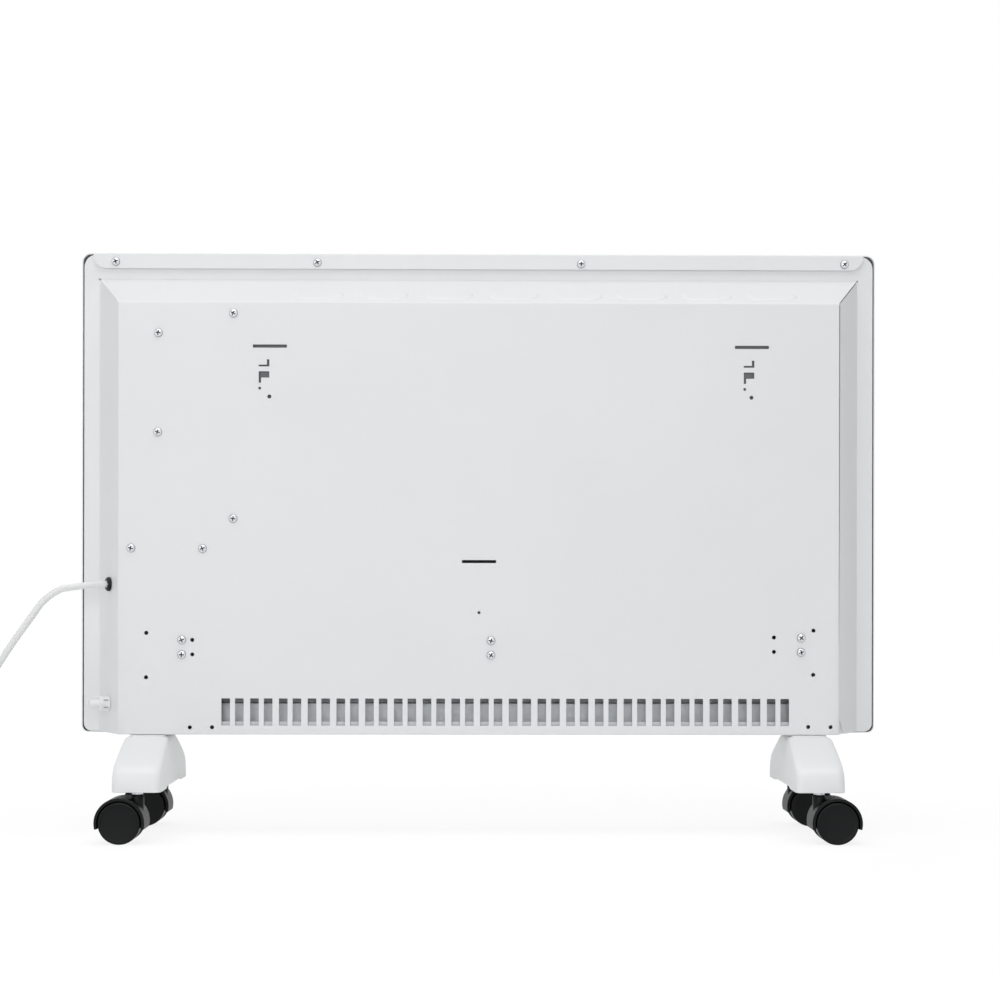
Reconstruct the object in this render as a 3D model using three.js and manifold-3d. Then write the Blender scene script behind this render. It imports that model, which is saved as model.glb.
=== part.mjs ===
// Panel convector heater on castored feet.
// Millimetres, +Z up. The front panel faces -Y, the folded rear casing faces +Y, and the floor is z = 0.
// Left and right are those of someone who stands in front of the heater, so right is +X.

import * as THREE from 'three';
import { mergeVertices } from 'three/addons/utils/BufferGeometryUtils.js';
import Module from 'manifold-3d';

const wasm = await Module();
wasm.setup();

// ---------------------------------------------------------------- driving dimensions

const SEAT = 0.3;                 // clearance between pieces that touch
const RUNNING = 0.3;              // clearance round a shaft, button or wheel
const SHEET = 1.0;                // steel sheet of panel and casing

const WHEEL_RADIUS = 20.2;
const WHEEL_WIDTH = 13.5;
const WHEEL_EDGE = 1.4;           // chamfer round the outer face of a wheel
const CASTOR_HEIGHT = 49;         // floor to the underside of the foot
const CASTOR_TRAIL = 15;          // stem axis to axle
const WEB_WIDTH = 11;             // middle web between a castor's two wheels
const HOOD_WALL = 3.0;
const HOOD_GAP = 0.8;             // wheel tread to hood
const HOOD_DROP = 14;             // degrees the hood comes down past the axle
const HOOD_INSET = 1.0;           // hood edge behind the wheel's outer face
const BOSS_RADIUS = 6.3;
const STEM_RADIUS = 4;
const STEM_COLLAR_RADIUS = 5.2;
const STEM_COLLAR = 2.2;          // height of the collar
const STEM_SHANK = 18;            // length inside the foot
const STEM_DEPTH = 18;            // length inside the castor
const AXLE_RADIUS = 3;
const AXLE_GRIP = 9;              // length of axle inside each wheel

const FOOT_FROM_FOLD = 29;        // fold of the rear face to the centre of each foot
const FOOT_HEIGHT = 50;
const FOOT_DEPTH = 190;
const FOOT_WIDTH = 47;
const FOOT_WALL = 2.6;
const FOOT_NECK = 1.6;            // height of the narrow neck under the casing
const FOOT_NECK_DEPTH = 52;
const FOOT_NECK_WIDTH = 34;
const FOOT_ARCH = 2.2;            // rise of the lower rim between the castors
const STEM_INSET = 13;            // stem axis from the end of the foot
const STEM_BOSS = 3.4;            // wall round the stem's socket

const PANEL_WIDTH = 800;
const PANEL_HEIGHT = 482.8;
const PANEL_DEPTH = 15;
const PANEL_TOP_RADIUS = 9;
const PANEL_LOW_RADIUS = 7;
const LIP_DROP = 15.9;            // top lip folded down behind the casing's flange
const LIP_INSET = 12;             // lip's ends from the panel's sides
const LIP_RADIUS = 13;
const LIP_GAP = 1.8;              // stand-off of the lip from the flange
const LIP_SCREW_FALL = 8.4;       // top of the panel to the lip's screws
const LIP_SCREWS = [0.9175, 0.40875, -0.255, -0.92];   // shares of the panel's half width

const CASING_REAR_Y = 23;         // rear face of the casing
const CASING_DEPTH = 58;          // flange plane to rear face
const FLANGE_GAP = 1.1;           // flange edge to the panel's side wall
const FLANGE_WIDTH = 15.7;
const TOP_FLANGE_WIDTH = 25;
const FLANGE_RADIUS = 13;
const BEVEL_SIDE = 27.7;          // how far each side slopes in, with its knee
const KNEE_IN = 3.4;              // steep narrow fold between a side slope and the rear face
const KNEE_DEPTH = 9;
const FITTING_SHARE = 0.645;      // place of bushing and sensor on the side slope, from its front fold
const FOLD_SLIT = 0.8;            // open joint between the left slope and the rear face
const BEVEL_TOP = 29.8;           // how far the top slopes in
const SEAM = 0.9;                 // open seam at the left mitred corner
const RELIEF_RADIUS = 0.9;        // relief hole where the folds meet
const NOTCH_WIDTH = 9;            // open corner between the left slope and the rear face, at the bottom
const NOTCH_HEIGHT = 14;

const VENT_COUNT = 20;            // pairs of intake slots
const VENT_INSET = [39.2, 89];    // side folds to the first and last slot's centre, left and right
const VENT_PAIR = 13.36;          // pitch inside a pair
const VENT_WIDTH = 8.5;
const VENT_HEIGHT = 26.7;
const VENT_RISE = 9;              // bottom of the casing to the slots

const BEAD_COUNT = 8;             // pressed beads on the top slope, and outlet columns at the front
const BEAD_INSET = [64.3, 195.3]; // side folds to the centre of the first and last bead, left and right
const BEAD_LENGTH = 49.4;
const BEAD_WIDTH = 26;
const BEAD_PRESS = 1.2;
const BEAD_FROM_REAR = 19;        // rear face to the middle of the beads, measured along Y

const HANGER_INSET = [148.9, 86.3];   // side folds to the two wall bracket slots, right and left
const WINDOW_SHIFT = [4.7, 1.8];  // slot to the stamped window beside it
const HANGER_DROP = 73.6;         // top of the rear face's slope line to each hanger's slot
const HANGER_SLOT = 33.5;
const HANGER_SLOT_HEIGHT = 3.2;
const LOWER_SLOT_DROP = 255;      // top of the rear face to the lower slot
const POCKET_WIDTH = 48;          // closed pocket behind each hanger
const POCKET_HEIGHT = 64;
const POCKET_DEPTH = 4;
const CHANNEL_DEPTH = 17;         // air guide behind the intake slots
const CHANNEL_LIP = 11.5;
const CHANNEL_BACK = 28.4;
const CHANNEL_OVERRUN = 5;
const CHANNEL_STEP = 10;          // shelf above the air guide's lower wall
const CHANNEL_RISE = 13;          // upper wall behind the shelf
const SMALL_HOLE = 2;             // radius of the punched holes
const HANGER_HOLE_FALL = 49.5;    // hanger slot to the hole under it
const LOWER_HOLE_FALL = 50.2;      // lower slot to the hole under it
const RIGHT_HOLES = [[28.1, 99.9], [27.9, 56.3], [72.5, 93], [72.5, 78.8], [70.9, 7.3], [92.7, 7.3]];
const LEFT_HOLES = [[25.2, 103], [25.4, 59.5], [64.1, 96.2], [64.1, 82], [30.3, 8.1], [8.2, 8]];
const SCREW_HOLE = 1.9;

const LOUVRE_ROWS = 4;
const LOUVRE_PITCH = 17;
const LOUVRE_PRESS = 4.2;
const LOUVRE_HEIGHT = 6.5;
const LOUVRE_FALL = 34;           // top of the panel to the first row

const ELEMENT_INSET = [54.3, 29.7];   // side folds to the ends of the element, right and left
const ELEMENT_Y = -13;
const ELEMENT_Z = 185;
const ELEMENT_CORE = 8.5;         // radius of the element's round core
const FIN_LENGTH = 25;
const FIN_THICKNESS = 1.8;
const FIN_ANGLES = [28, 90, 152, 208, 270, 332];
const BRACKET_SHARE = [0.4864, 0.0016, -0.4864];   // along the element from its middle
const BRACKET_WIDTH = 20;
const BRACKET_RIM = 3.5;          // plate left outside the tips of the fins
const BRACKET_GAUGE = 1.2;
const INSULATOR_RADIUS = 6;
const INSULATOR_LENGTH = 12;

const BOX_FROM_FOLD = 61.5;       // right fold of the rear face to the middle of the control box
const BOX_WIDTH = 108;
const BOX_FALL = 62.5;            // top of the panel to the top of the control box
const BOX_HEIGHT = 242;
const BOX_WALL = 2.2;
const BOX_DEPTH = 52;
const BOX_SCREWS = [              // shares of the box's width and height, from its lower left corner
  [0.7037, 0.8988], [0.0463, 0.9752], [0.7083, 0.4959],
  [0.0463, 0.1426], [0.9444, 0.0219], [0.3009, 0.0207]];
const BOX_SCREW_BOSS = 4.4;

const FASCIA_WIDTH = 84;
const FASCIA_HEIGHT = 132;
const FASCIA_FALL = 141.5;        // top of the panel to the middle of the fascia
const FASCIA_PROUD = 2.2;
const FASCIA_RIM = 3.5;           // overlap of the fascia on the panel
const FASCIA_DEPTH = 6;
const FASCIA_WALL = 2.4;
const DISPLAY_WIDTH = 58;
const DISPLAY_HEIGHT = 40;
const DISPLAY_RISE = 0.227;       // share of the fascia's height from its middle up to the display's
const BUTTON_RADIUS = 6.5;
const BUTTON_SPREAD = 26;
const BUTTON_FALLS = [0.136, 0.333];   // shares of the fascia's height down to the two pairs of buttons
const BUTTON_PROUD = 1.6;
const BUTTON_TRAVEL = 1.2;
const BOARD_GAUGE = 1.6;
const TERMINAL_INSET = 31.5;      // right fold of the rear face to the terminal block's middle
const TERMINAL_FALL = 30;         // bottom of the control box to the terminal block's middle
const TERMINAL_WIDTH = 42;
const TERMINAL_HEIGHT = 22;

const BUSHING_Z = 247;
const BUSHING_RADIUS = 7;
const BUSHING_LENGTH = 5;
const BUSHING_TAIL = 14;          // tapered sleeve inside the casing
const BUSHING_NECK = 6;
const CORD_SEAT = 0.9;            // slope to the bottom of the bushing's bore
const SENSOR_Z = 127;
const SENSOR_RADIUS = 8;
const SENSOR_COLLAR = 14.2;
const SENSOR_NOSE_RADIUS = 4.9;
const SENSOR_LENGTH = 24;
const SENSOR_SLITS = 6;

const CORD_DIAMETER = 6.8;
const COIL_FROM_PANEL = 174;      // side of the panel to the middle of the coil
const COIL_Y = 50.8;
const COIL_OUTER = 46.7;          // centre line radius of the outermost turn
const COIL_TURNS = 5.25;          // in all: half of them spiral in, the rest spiral out below
const COIL_PITCH = 7.4;           // centre to centre of turns that lie side by side
const COIL_LAYER = 7.5;           // centre to centre of the two layers
const COIL_STEPS = 20;            // steps in a turn
const CORD_REST = 3.6;            // centre line of cord that lies on the floor
const PLUG_Y = 124.5;             // rear end of the plug, which lies along +Y beside the coil
const PLUG_RADIUS = 18.5;
const PLUG_LENGTH = 34;
const PLUG_NECK = 24;
const PLUG_REST = 0.2;            // plug to the floor
const PIN_RADIUS = 2.4;
const PIN_LENGTH = 19;
const PIN_SPACING = 19;

// ---------------------------------------------------------------- heights and depths that follow

const FOOT_TOP = CASTOR_HEIGHT + FOOT_HEIGHT;
const CASING_BOTTOM = FOOT_TOP + SEAT;
const PANEL_BOTTOM = CASING_BOTTOM - SEAT - SHEET;
const PANEL_TOP = PANEL_BOTTOM + PANEL_HEIGHT;
const FLANGE_Y = CASING_REAR_Y - CASING_DEPTH;
const PANEL_FRONT_Y = FLANGE_Y - PANEL_DEPTH;
const FLANGE_HALF = PANEL_WIDTH / 2 - SHEET - FLANGE_GAP;
const FLANGE_TOP = PANEL_TOP - SHEET - SEAT;
const FOLD_HALF = FLANGE_HALF - FLANGE_WIDTH;
const FOLD_TOP = FLANGE_TOP - TOP_FLANGE_WIDTH;
const FACE_HALF = FOLD_HALF - BEVEL_SIDE;
const FACE_TOP = FOLD_TOP - BEVEL_TOP;
const FACE_INNER_Y = CASING_REAR_Y - SHEET;
const SLOPE_IN = BEVEL_SIDE - KNEE_IN;
const KNEE_Y = CASING_REAR_Y - KNEE_DEPTH;
const KNEE_HALF = FACE_HALF + KNEE_IN;
const FOOT_X = FACE_HALF - FOOT_FROM_FOLD;
const STEM_Y = FOOT_DEPTH / 2 - STEM_INSET;
const WHEEL_INNER = WEB_WIDTH / 2 + RUNNING + 0.2;
const CASTOR_HALF = WHEEL_INNER + WHEEL_WIDTH;
const HOOD_INNER = WHEEL_RADIUS + HOOD_GAP;
const HOOD_OUTER = HOOD_INNER + HOOD_WALL;
const BOSS_TOP = CASTOR_HEIGHT - SEAT - STEM_COLLAR - SEAT;
const SLOPE_DEPTH = CASING_DEPTH - KNEE_DEPTH;
const SLOPE_NORMAL = new THREE.Vector3(SLOPE_DEPTH, SLOPE_IN, 0).normalize();
const VENT_BOTTOM = CASING_BOTTOM + VENT_RISE;
const HANGER_Z = FOLD_TOP - HANGER_DROP;
const HANGER_X = [FACE_HALF - HANGER_INSET[0], HANGER_INSET[1] - FACE_HALF];
const LOWER_SLOT_Z = FACE_TOP - LOWER_SLOT_DROP;
const VENT_PITCH = (2 * FACE_HALF - VENT_INSET[0] - VENT_INSET[1] - VENT_PAIR) / (VENT_COUNT - 1);
const VENT_MIDDLE_X = (VENT_INSET[0] - VENT_INSET[1]) / 2;
const BEAD_PITCH = (2 * FACE_HALF - BEAD_INSET[0] - BEAD_INSET[1]) / (BEAD_COUNT - 1);
const BEAD_MIDDLE_X = (BEAD_INSET[0] - BEAD_INSET[1]) / 2;
const ELEMENT_LENGTH = 2 * FACE_HALF - ELEMENT_INSET[0] - ELEMENT_INSET[1];
const ELEMENT_MIDDLE_X = (ELEMENT_INSET[1] - ELEMENT_INSET[0]) / 2;
const BRACKET_X = BRACKET_SHARE.map((share) => ELEMENT_MIDDLE_X + share * ELEMENT_LENGTH);
const BOX_X = FACE_HALF - BOX_FROM_FOLD;
const BOX_BOTTOM = PANEL_TOP - BOX_FALL - BOX_HEIGHT;
const FASCIA_Z = PANEL_TOP - FASCIA_FALL;
const COIL_X = PANEL_WIDTH / 2 + COIL_FROM_PANEL;

// ---------------------------------------------------------------- finishes

const finish = (color, roughness, metalness) => () =>
  new THREE.MeshStandardMaterial({ color, roughness, metalness });
const whiteEnamel = finish(0xe9ebec, 0.42, 0.1);
const whitePlastic = finish(0xe6e8ea, 0.45, 0);
const blackPlastic = finish(0x202426, 0.5, 0);
const greyPlastic = finish(0x9a9da0, 0.55, 0);
const aluminium = finish(0xb9bcbf, 0.4, 1);
const zinc = finish(0xc7c9cb, 0.35, 1);
const ceramic = finish(0xf0ece2, 0.5, 0);
const circuitGreen = finish(0x2c5a3c, 0.6, 0);
const darkGlass = finish(0x101214, 0.15, 0);
const brass = finish(0xc8a95c, 0.35, 1);

// ---------------------------------------------------------------- solids

const heater = new THREE.Group();

// A closed mesh as a solid. Shared corners are merged, flat slivers dropped, and faces turned outwards.
function solid(geometry, move = new THREE.Matrix4()) {
  const bare = geometry.clone();
  bare.deleteAttribute('normal');
  bare.deleteAttribute('uv');
  const merged = mergeVertices(bare, 1e-4).applyMatrix4(move);
  const index = Array.from(merged.index.array);
  const triangles = [];
  for (let i = 0; i < index.length; i += 3) {
    const [a, b, c] = index.slice(i, i + 3);
    if (a !== b && b !== c && c !== a) {
      triangles.push(a, b, c);
    }
  }
  const body = manifold(merged.attributes.position.array, triangles);
  return body.volume() < 0 ? manifold(merged.attributes.position.array, triangles.reverse()) : body;
}

function manifold(positions, triangles) {
  return new wasm.Manifold(new wasm.Mesh({
    numProp: 3,
    vertProperties: new Float32Array(positions),
    triVerts: new Uint32Array(triangles),
  }));
}

function place(name, shape, material, parent = heater) {
  const mesh = shape.getMesh();
  const geometry = new THREE.BufferGeometry();
  geometry.setAttribute('position', new THREE.BufferAttribute(new Float32Array(mesh.vertProperties), 3));
  geometry.setIndex(new THREE.BufferAttribute(new Uint32Array(mesh.triVerts), 1));
  geometry.computeVertexNormals();
  const piece = new THREE.Mesh(geometry, material());
  piece.name = name;
  parent.add(piece);
  return piece;
}

function fuse(parts) {
  return parts.reduce((whole, next) => whole.add(next));
}

function cutAll(body, tools) {
  return body.subtract(fuse(tools));
}

function box(x0, x1, y0, y1, z0, z1) {
  const geometry = new THREE.BoxGeometry(x1 - x0, y1 - y0, z1 - z0);
  geometry.translate((x0 + x1) / 2, (y0 + y1) / 2, (z0 + z1) / 2);
  return solid(geometry);
}

// A flat outline drawn in (across, up) and given thickness along one axis of the heater.
const OUTLINE_FRAMES = {
  x: new THREE.Matrix4().makeBasis(
    new THREE.Vector3(0, 1, 0), new THREE.Vector3(0, 0, 1), new THREE.Vector3(1, 0, 0)),
  y: new THREE.Matrix4().makeBasis(
    new THREE.Vector3(-1, 0, 0), new THREE.Vector3(0, 0, 1), new THREE.Vector3(0, 1, 0)),
  z: new THREE.Matrix4(),
};

// Along y the outline's across runs towards -X, so it is mirrored first and reads as x, z.
function slab(shape, axis, from, to, curveSegments = 2) {
  const outline = axis === 'y' ? mirrored(shape, curveSegments) : shape;
  const depth = to - from;
  const geometry = new THREE.ExtrudeGeometry(outline, { depth, bevelEnabled: false, curveSegments });
  geometry.translate(0, 0, from);
  return solid(geometry, OUTLINE_FRAMES[axis]);
}

function mirrored(shape, curveSegments) {
  const points = shape.extractPoints(curveSegments);
  const flip = (list) => list.map((p) => new THREE.Vector2(-p.x, p.y));
  const flipped = new THREE.Shape(flip(points.shape));
  points.holes.forEach((hole) => flipped.holes.push(new THREE.Path(flip(hole))));
  return flipped;
}

function rounded(x0, x1, y0, y1, low, high = low) {
  const shape = new THREE.Shape();
  shape.moveTo(x0 + low, y0);
  shape.lineTo(x1 - low, y0);
  shape.absarc(x1 - low, y0 + low, low, -Math.PI / 2, 0);
  shape.lineTo(x1, y1 - high);
  if (high) {
    shape.absarc(x1 - high, y1 - high, high, 0, Math.PI / 2);
  }
  shape.lineTo(x0 + high, y1);
  if (high) {
    shape.absarc(x0 + high, y1 - high, high, Math.PI / 2, Math.PI);
  }
  shape.lineTo(x0, y0 + low);
  shape.absarc(x0 + low, y0 + low, low, Math.PI, Math.PI * 1.5);
  return shape;
}

function polygon(points) {
  return new THREE.Shape(points.map(([a, b]) => new THREE.Vector2(a, b)));
}

// A solid of revolution: the profile is [radius, distance] pairs, measured from a point along a direction.
function turned(profile, segments, start, direction) {
  const points = profile.map(([radius, distance]) => new THREE.Vector2(radius, distance));
  const turn = new THREE.Quaternion().setFromUnitVectors(new THREE.Vector3(0, 1, 0), direction);
  const move = new THREE.Matrix4().compose(start, turn, new THREE.Vector3(1, 1, 1));
  return solid(new THREE.LatheGeometry(points, segments), move);
}

function rod(radius, from, to, segments = 16) {
  const length = from.distanceTo(to);
  const direction = to.clone().sub(from).normalize();
  return turned([[0, 0], [radius, 0], [radius, length], [0, length]], segments, from, direction);
}

const at = (x, y, z) => new THREE.Vector3(x, y, z);
const UP = at(0, 0, 1);

function rodAlongY(radius, x, z, y0, y1, segments = 12) {
  return rod(radius, at(x, y0, z), at(x, y1, z), segments);
}

// Stacked closed sections with the same number of points each, joined into one closed skin.
function loft(sections) {
  const count = sections[0].length;
  const positions = sections.flat().flatMap((p) => [p.x, p.y, p.z]);
  const index = [];
  for (let level = 0; level < sections.length - 1; level += 1) {
    for (let i = 0; i < count; i += 1) {
      const a = level * count + i;
      const b = level * count + (i + 1) % count;
      index.push(a, b, b + count, a, b + count, a + count);
    }
  }
  const top = (sections.length - 1) * count;
  for (let i = 1; i < count - 1; i += 1) {
    index.push(0, i + 1, i);
    index.push(top, top + i, top + i + 1);
  }
  const geometry = new THREE.BufferGeometry();
  geometry.setAttribute('position', new THREE.Float32BufferAttribute(positions, 3));
  geometry.setIndex(index);
  return solid(geometry);
}

// ---------------------------------------------------------------- front panel

function frontPanel() {
  const half = PANEL_WIDTH / 2;
  const outer = rounded(-half, half, PANEL_BOTTOM, PANEL_TOP, PANEL_LOW_RADIUS, PANEL_TOP_RADIUS);
  const inner = rounded(-half + SHEET, half - SHEET, PANEL_BOTTOM + SHEET, PANEL_TOP - SHEET,
    PANEL_LOW_RADIUS - SHEET, PANEL_TOP_RADIUS - SHEET);
  const rimY = FLANGE_Y + SEAT;
  let panel = slab(outer, 'y', PANEL_FRONT_Y, rimY);
  panel = panel.subtract(slab(inner, 'y', PANEL_FRONT_Y + SHEET, rimY + 1));
  panel = panel.add(topLip(rimY));
  panel = louvredOutlet(panel);
  const window = rounded(BOX_X - fasciaBodyHalf() - RUNNING, BOX_X + fasciaBodyHalf() + RUNNING,
    FASCIA_Z - fasciaBodyRise() - RUNNING, FASCIA_Z + fasciaBodyRise() + RUNNING, 5);
  return panel.subtract(slab(window, 'y', PANEL_FRONT_Y - 1, PANEL_FRONT_Y + SHEET + 1));
}

function topLip(rimY) {
  const half = PANEL_WIDTH / 2 - LIP_INSET;
  const near = rimY + LIP_GAP;
  const drop = rounded(-half, half, PANEL_TOP - LIP_DROP, PANEL_TOP, LIP_RADIUS, 0);
  const strip = slab(drop, 'y', near, near + SHEET, 3);
  const bridge = box(-half, half, rimY - 1, near + SHEET, PANEL_TOP - SHEET, PANEL_TOP);
  return cutAll(strip.add(bridge), lipScrewPlaces().map(([x, z]) =>
    rodAlongY(SCREW_HOLE, x, z, near - 1, near + SHEET + 1)));
}

function lipScrewPlaces() {
  const z = PANEL_TOP - LIP_SCREW_FALL;
  return LIP_SCREWS.map((share) => [share * PANEL_WIDTH / 2, z]);
}

function beadCentres() {
  const first = BEAD_MIDDLE_X - BEAD_PITCH * (BEAD_COUNT - 1) / 2;
  return Array.from({ length: BEAD_COUNT }, (_, i) => first + i * BEAD_PITCH);
}

// Each outlet is a slot under a hood that is pressed out of the sheet.
function louvredOutlet(panel) {
  const slots = [];
  const hoods = [];
  for (let row = 0; row < LOUVRE_ROWS; row += 1) {
    const z = PANEL_TOP - LOUVRE_FALL - row * LOUVRE_PITCH;
    beadCentres().forEach((x) => {
      const from = x - BEAD_LENGTH / 2;
      const to = x + BEAD_LENGTH / 2;
      slots.push(box(from, to, PANEL_FRONT_Y - 1, PANEL_FRONT_Y + SHEET + 1, z - LOUVRE_HEIGHT, z));
      hoods.push(louvreHood(from, to, z));
    });
  }
  return cutAll(panel, slots).add(fuse(hoods));
}

function louvreHood(from, to, z) {
  const root = PANEL_FRONT_Y + SHEET;
  const crest = PANEL_FRONT_Y - LOUVRE_PRESS;
  const low = z - LOUVRE_HEIGHT;
  const blade = polygon([[root, z], [root, z + SHEET], [PANEL_FRONT_Y, z + SHEET],
    [crest, low + SHEET * 1.5], [crest, low], [crest + SHEET, low]]);
  const cheek = polygon([[root, z], [crest + SHEET / 2, low], [root, low - SHEET / 2]]);
  return fuse([
    slab(blade, 'x', from - SHEET, to + SHEET),
    slab(cheek, 'x', from - SHEET, from),
    slab(cheek, 'x', to, to + SHEET),
  ]);
}

function lipScrews() {
  lipScrewPlaces().forEach(([x, z], i) => {
    const seat = FLANGE_Y + SEAT + LIP_GAP + SHEET + SEAT;
    const head = turned([[0, -11], [SCREW_HOLE - SEAT, -10], [SCREW_HOLE - SEAT, 0], [4.2, 0],
      [4.2, 0.9], [3.2, 2.2], [0, 2.7]], 12, at(x, seat, z), at(0, 1, 0));
    place(`lip_screw_${i + 1}`, head, zinc);
  });
}

// ---------------------------------------------------------------- rear casing

// Half width and top height of the folded box at a depth y, drawn in by a sheet thickness or not.
function boxAt(y, inset) {
  const back = CASING_REAR_Y - y;
  const knee = KNEE_IN / KNEE_DEPTH;
  const side = SLOPE_IN / SLOPE_DEPTH;
  const top = BEVEL_TOP / CASING_DEPTH;
  return {
    half: Math.max(FACE_HALF + back * knee - inset * Math.hypot(1, knee),
      KNEE_HALF + (back - KNEE_DEPTH) * side - inset * Math.hypot(1, side)),
    top: FACE_TOP + back * top - inset * Math.hypot(1, top),
  };
}

// Depth at which the drawn-in slope and knee meet.
function kneeY(inset) {
  const knee = KNEE_IN / KNEE_DEPTH;
  const side = SLOPE_IN / SLOPE_DEPTH;
  return KNEE_Y + inset * (Math.hypot(1, knee) - Math.hypot(1, side)) / (side - knee);
}

function foldedBox(frontY, rearY, bottom, inset) {
  const ring = (y) => {
    const { half, top } = boxAt(y, inset);
    return [at(-half, y, bottom), at(-half, y, top), at(half, y, top), at(half, y, bottom)];
  };
  return loft([ring(frontY), ring(kneeY(inset)), ring(rearY)]);
}

function rearCasing() {
  const flange = slab(rounded(-FLANGE_HALF, FLANGE_HALF, CASING_BOTTOM, FLANGE_TOP,
    PANEL_LOW_RADIUS + 1, FLANGE_RADIUS), 'y', FLANGE_Y - SHEET, FLANGE_Y);
  let casing = flange.add(foldedBox(FLANGE_Y - SHEET / 2, CASING_REAR_Y, CASING_BOTTOM, 0));
  casing = casing.add(fuse(topBeads(BEAD_WIDTH, BEAD_LENGTH, BEAD_PRESS)));
  casing = casing.subtract(
    foldedBox(FLANGE_Y - SHEET - 2, FACE_INNER_Y, CASING_BOTTOM + SHEET, SHEET));
  casing = cutAll(casing, topBeads(BEAD_WIDTH - 2 * SHEET, BEAD_LENGTH - 2 * SHEET, BEAD_PRESS - SHEET));
  return cutAll(casing, [...punchings(), ...cornerSeams(), ...slopeHoles(), ...lipHoles()]);
}

// Long round-ended beads, raised from the top slope.
function topBeads(width, length, rise) {
  const depth = BEAD_PRESS + 4;
  const y = CASING_REAR_Y - BEAD_FROM_REAR;
  const lean = new THREE.Matrix4().makeRotationX(-Math.atan2(BEVEL_TOP, CASING_DEPTH));
  return beadCentres().map((x) => {
    const outline = rounded(-length / 2, length / 2, -width / 2, width / 2, width / 2);
    const geometry = new THREE.ExtrudeGeometry(outline, { depth, bevelEnabled: false, curveSegments: 1 });
    geometry.translate(0, 0, rise - depth);
    return solid(geometry, lean.clone().setPosition(x, y, boxAt(y, 0).top));
  });
}

function throughFace(shape) {
  return slab(shape, 'y', FACE_INNER_Y - 1, CASING_REAR_Y + 1);
}

function hole(x, z, radius, segments = 8) {
  return rodAlongY(radius, x, z, FACE_INNER_Y - 1, CASING_REAR_Y + 1, segments);
}

function punchings() {
  return [
    ...ventSlots(),
    ...HANGER_X.flatMap((x, i) => hangerWindow(x, x + WINDOW_SHIFT[i])),
    lowerSlot(),
    ...smallHoles().map(([x, z]) => hole(x, z, SMALL_HOLE)),
  ];
}

function ventSlots() {
  const slots = [];
  for (let i = 0; i < VENT_COUNT; i += 1) {
    const pair = VENT_MIDDLE_X + (i - (VENT_COUNT - 1) / 2) * VENT_PITCH;
    [-VENT_PAIR / 2, VENT_PAIR / 2].forEach((offset) => {
      const x = pair + offset;
      slots.push(box(x - VENT_WIDTH / 2, x + VENT_WIDTH / 2, FACE_INNER_Y - 1, CASING_REAR_Y + 1,
        VENT_BOTTOM, VENT_BOTTOM + VENT_HEIGHT));
    });
  }
  return slots;
}

// A long slot above a stamped window: a thin slit, the strap that takes the hook, and a flag-shaped hole.
function hangerWindow(slotX, x) {
  const z = HANGER_Z;
  const slot = rounded(slotX - HANGER_SLOT / 2, slotX + HANGER_SLOT / 2, z - HANGER_SLOT_HEIGHT / 2,
    z + HANGER_SLOT_HEIGHT / 2, HANGER_SLOT_HEIGHT / 2);
  const slit = polygon([[x - 4.2, z - 19.9], [x + 6.2, z - 19.9], [x + 6.2, z - 18.1],
    [x - 1.8, z - 18.1], [x - 1.8, z - 12.9], [x - 4.2, z - 12.9]]);
  const flag = polygon([[x + 6.2, z - 24.7], [x - 4.2, z - 24.7], [x - 4.2, z - 30.9],
    [x + 3.8, z - 30.9], [x + 3.8, z - 35.9], [x + 6.2, z - 35.9]]);
  return [
    throughFace(slot),
    throughFace(slit),
    throughFace(flag),
    hole(x + 5.2, z - 41.3, 1.4),
    hole(slotX + 0.4, z - HANGER_HOLE_FALL, SMALL_HOLE),
  ];
}

function lowerSlot() {
  const z = LOWER_SLOT_Z;
  return throughFace(rounded(-HANGER_SLOT / 2, HANGER_SLOT / 2, z - 1.5, z + 1.5, 1.5));
}

function smallHoles() {
  const places = (side, holes) => holes.map(([inset, rise]) =>
    [side * (FACE_HALF - inset), CASING_BOTTOM + rise]);
  return [[0, LOWER_SLOT_Z - LOWER_HOLE_FALL], ...places(1, RIGHT_HOLES), ...places(-1, LEFT_HOLES)];
}

function lipHoles() {
  return lipScrewPlaces().map(([x, z]) => rodAlongY(SCREW_HOLE, x, z, FLANGE_Y - SHEET - 1, FLANGE_Y + 1));
}

// The folds have a round relief where they cross. On the left the mitre stands open, and the slope's lower
// corner is rounded away from the rear face.
function cornerSeams() {
  const reliefs = [1, -1].map((side) =>
    rodAlongY(RELIEF_RADIUS, side * FOLD_HALF, FOLD_TOP, FLANGE_Y - SHEET - 1, FLANGE_Y + 2, 8));
  const near = -FACE_HALF - SEAT;
  const curve = [[0, -1], [0, NOTCH_HEIGHT], [0.3, NOTCH_HEIGHT - 2], [0.45, 7], [0.75, 2.2], [1.1, -1]];
  const notch = polygon(curve.map(([share, rise]) => [near - NOTCH_WIDTH * share, CASING_BOTTOM + rise]));
  const slit = box(-FACE_HALF - FOLD_SLIT, -FACE_HALF, KNEE_Y, CASING_REAR_Y + 1,
    CASING_BOTTOM - 1, FACE_TOP - 1);
  return [...reliefs, mitreCut(-1), slit, slab(notch, 'y', KNEE_Y - NOTCH_WIDTH * 2, CASING_REAR_Y + 1)];
}

// A thin blade that lies in the mitre plane and passes through the sheet.
function mitreCut(side) {
  const low = at(side * FOLD_HALF, FLANGE_Y, FOLD_TOP);
  const high = at(side * FACE_HALF, CASING_REAR_Y, FACE_TOP);
  const along = high.clone().sub(low);
  const length = along.length();
  along.normalize();
  const inward = at(-side, 0, -1).addScaledVector(along, -along.dot(at(-side, 0, -1))).normalize();
  const across = along.clone().cross(inward);
  const move = new THREE.Matrix4().makeBasis(along, inward, across)
    .setPosition(low.addScaledVector(along, length * 0.51));
  return solid(new THREE.BoxGeometry(length * 0.93, 6, SEAM), move);
}

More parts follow.
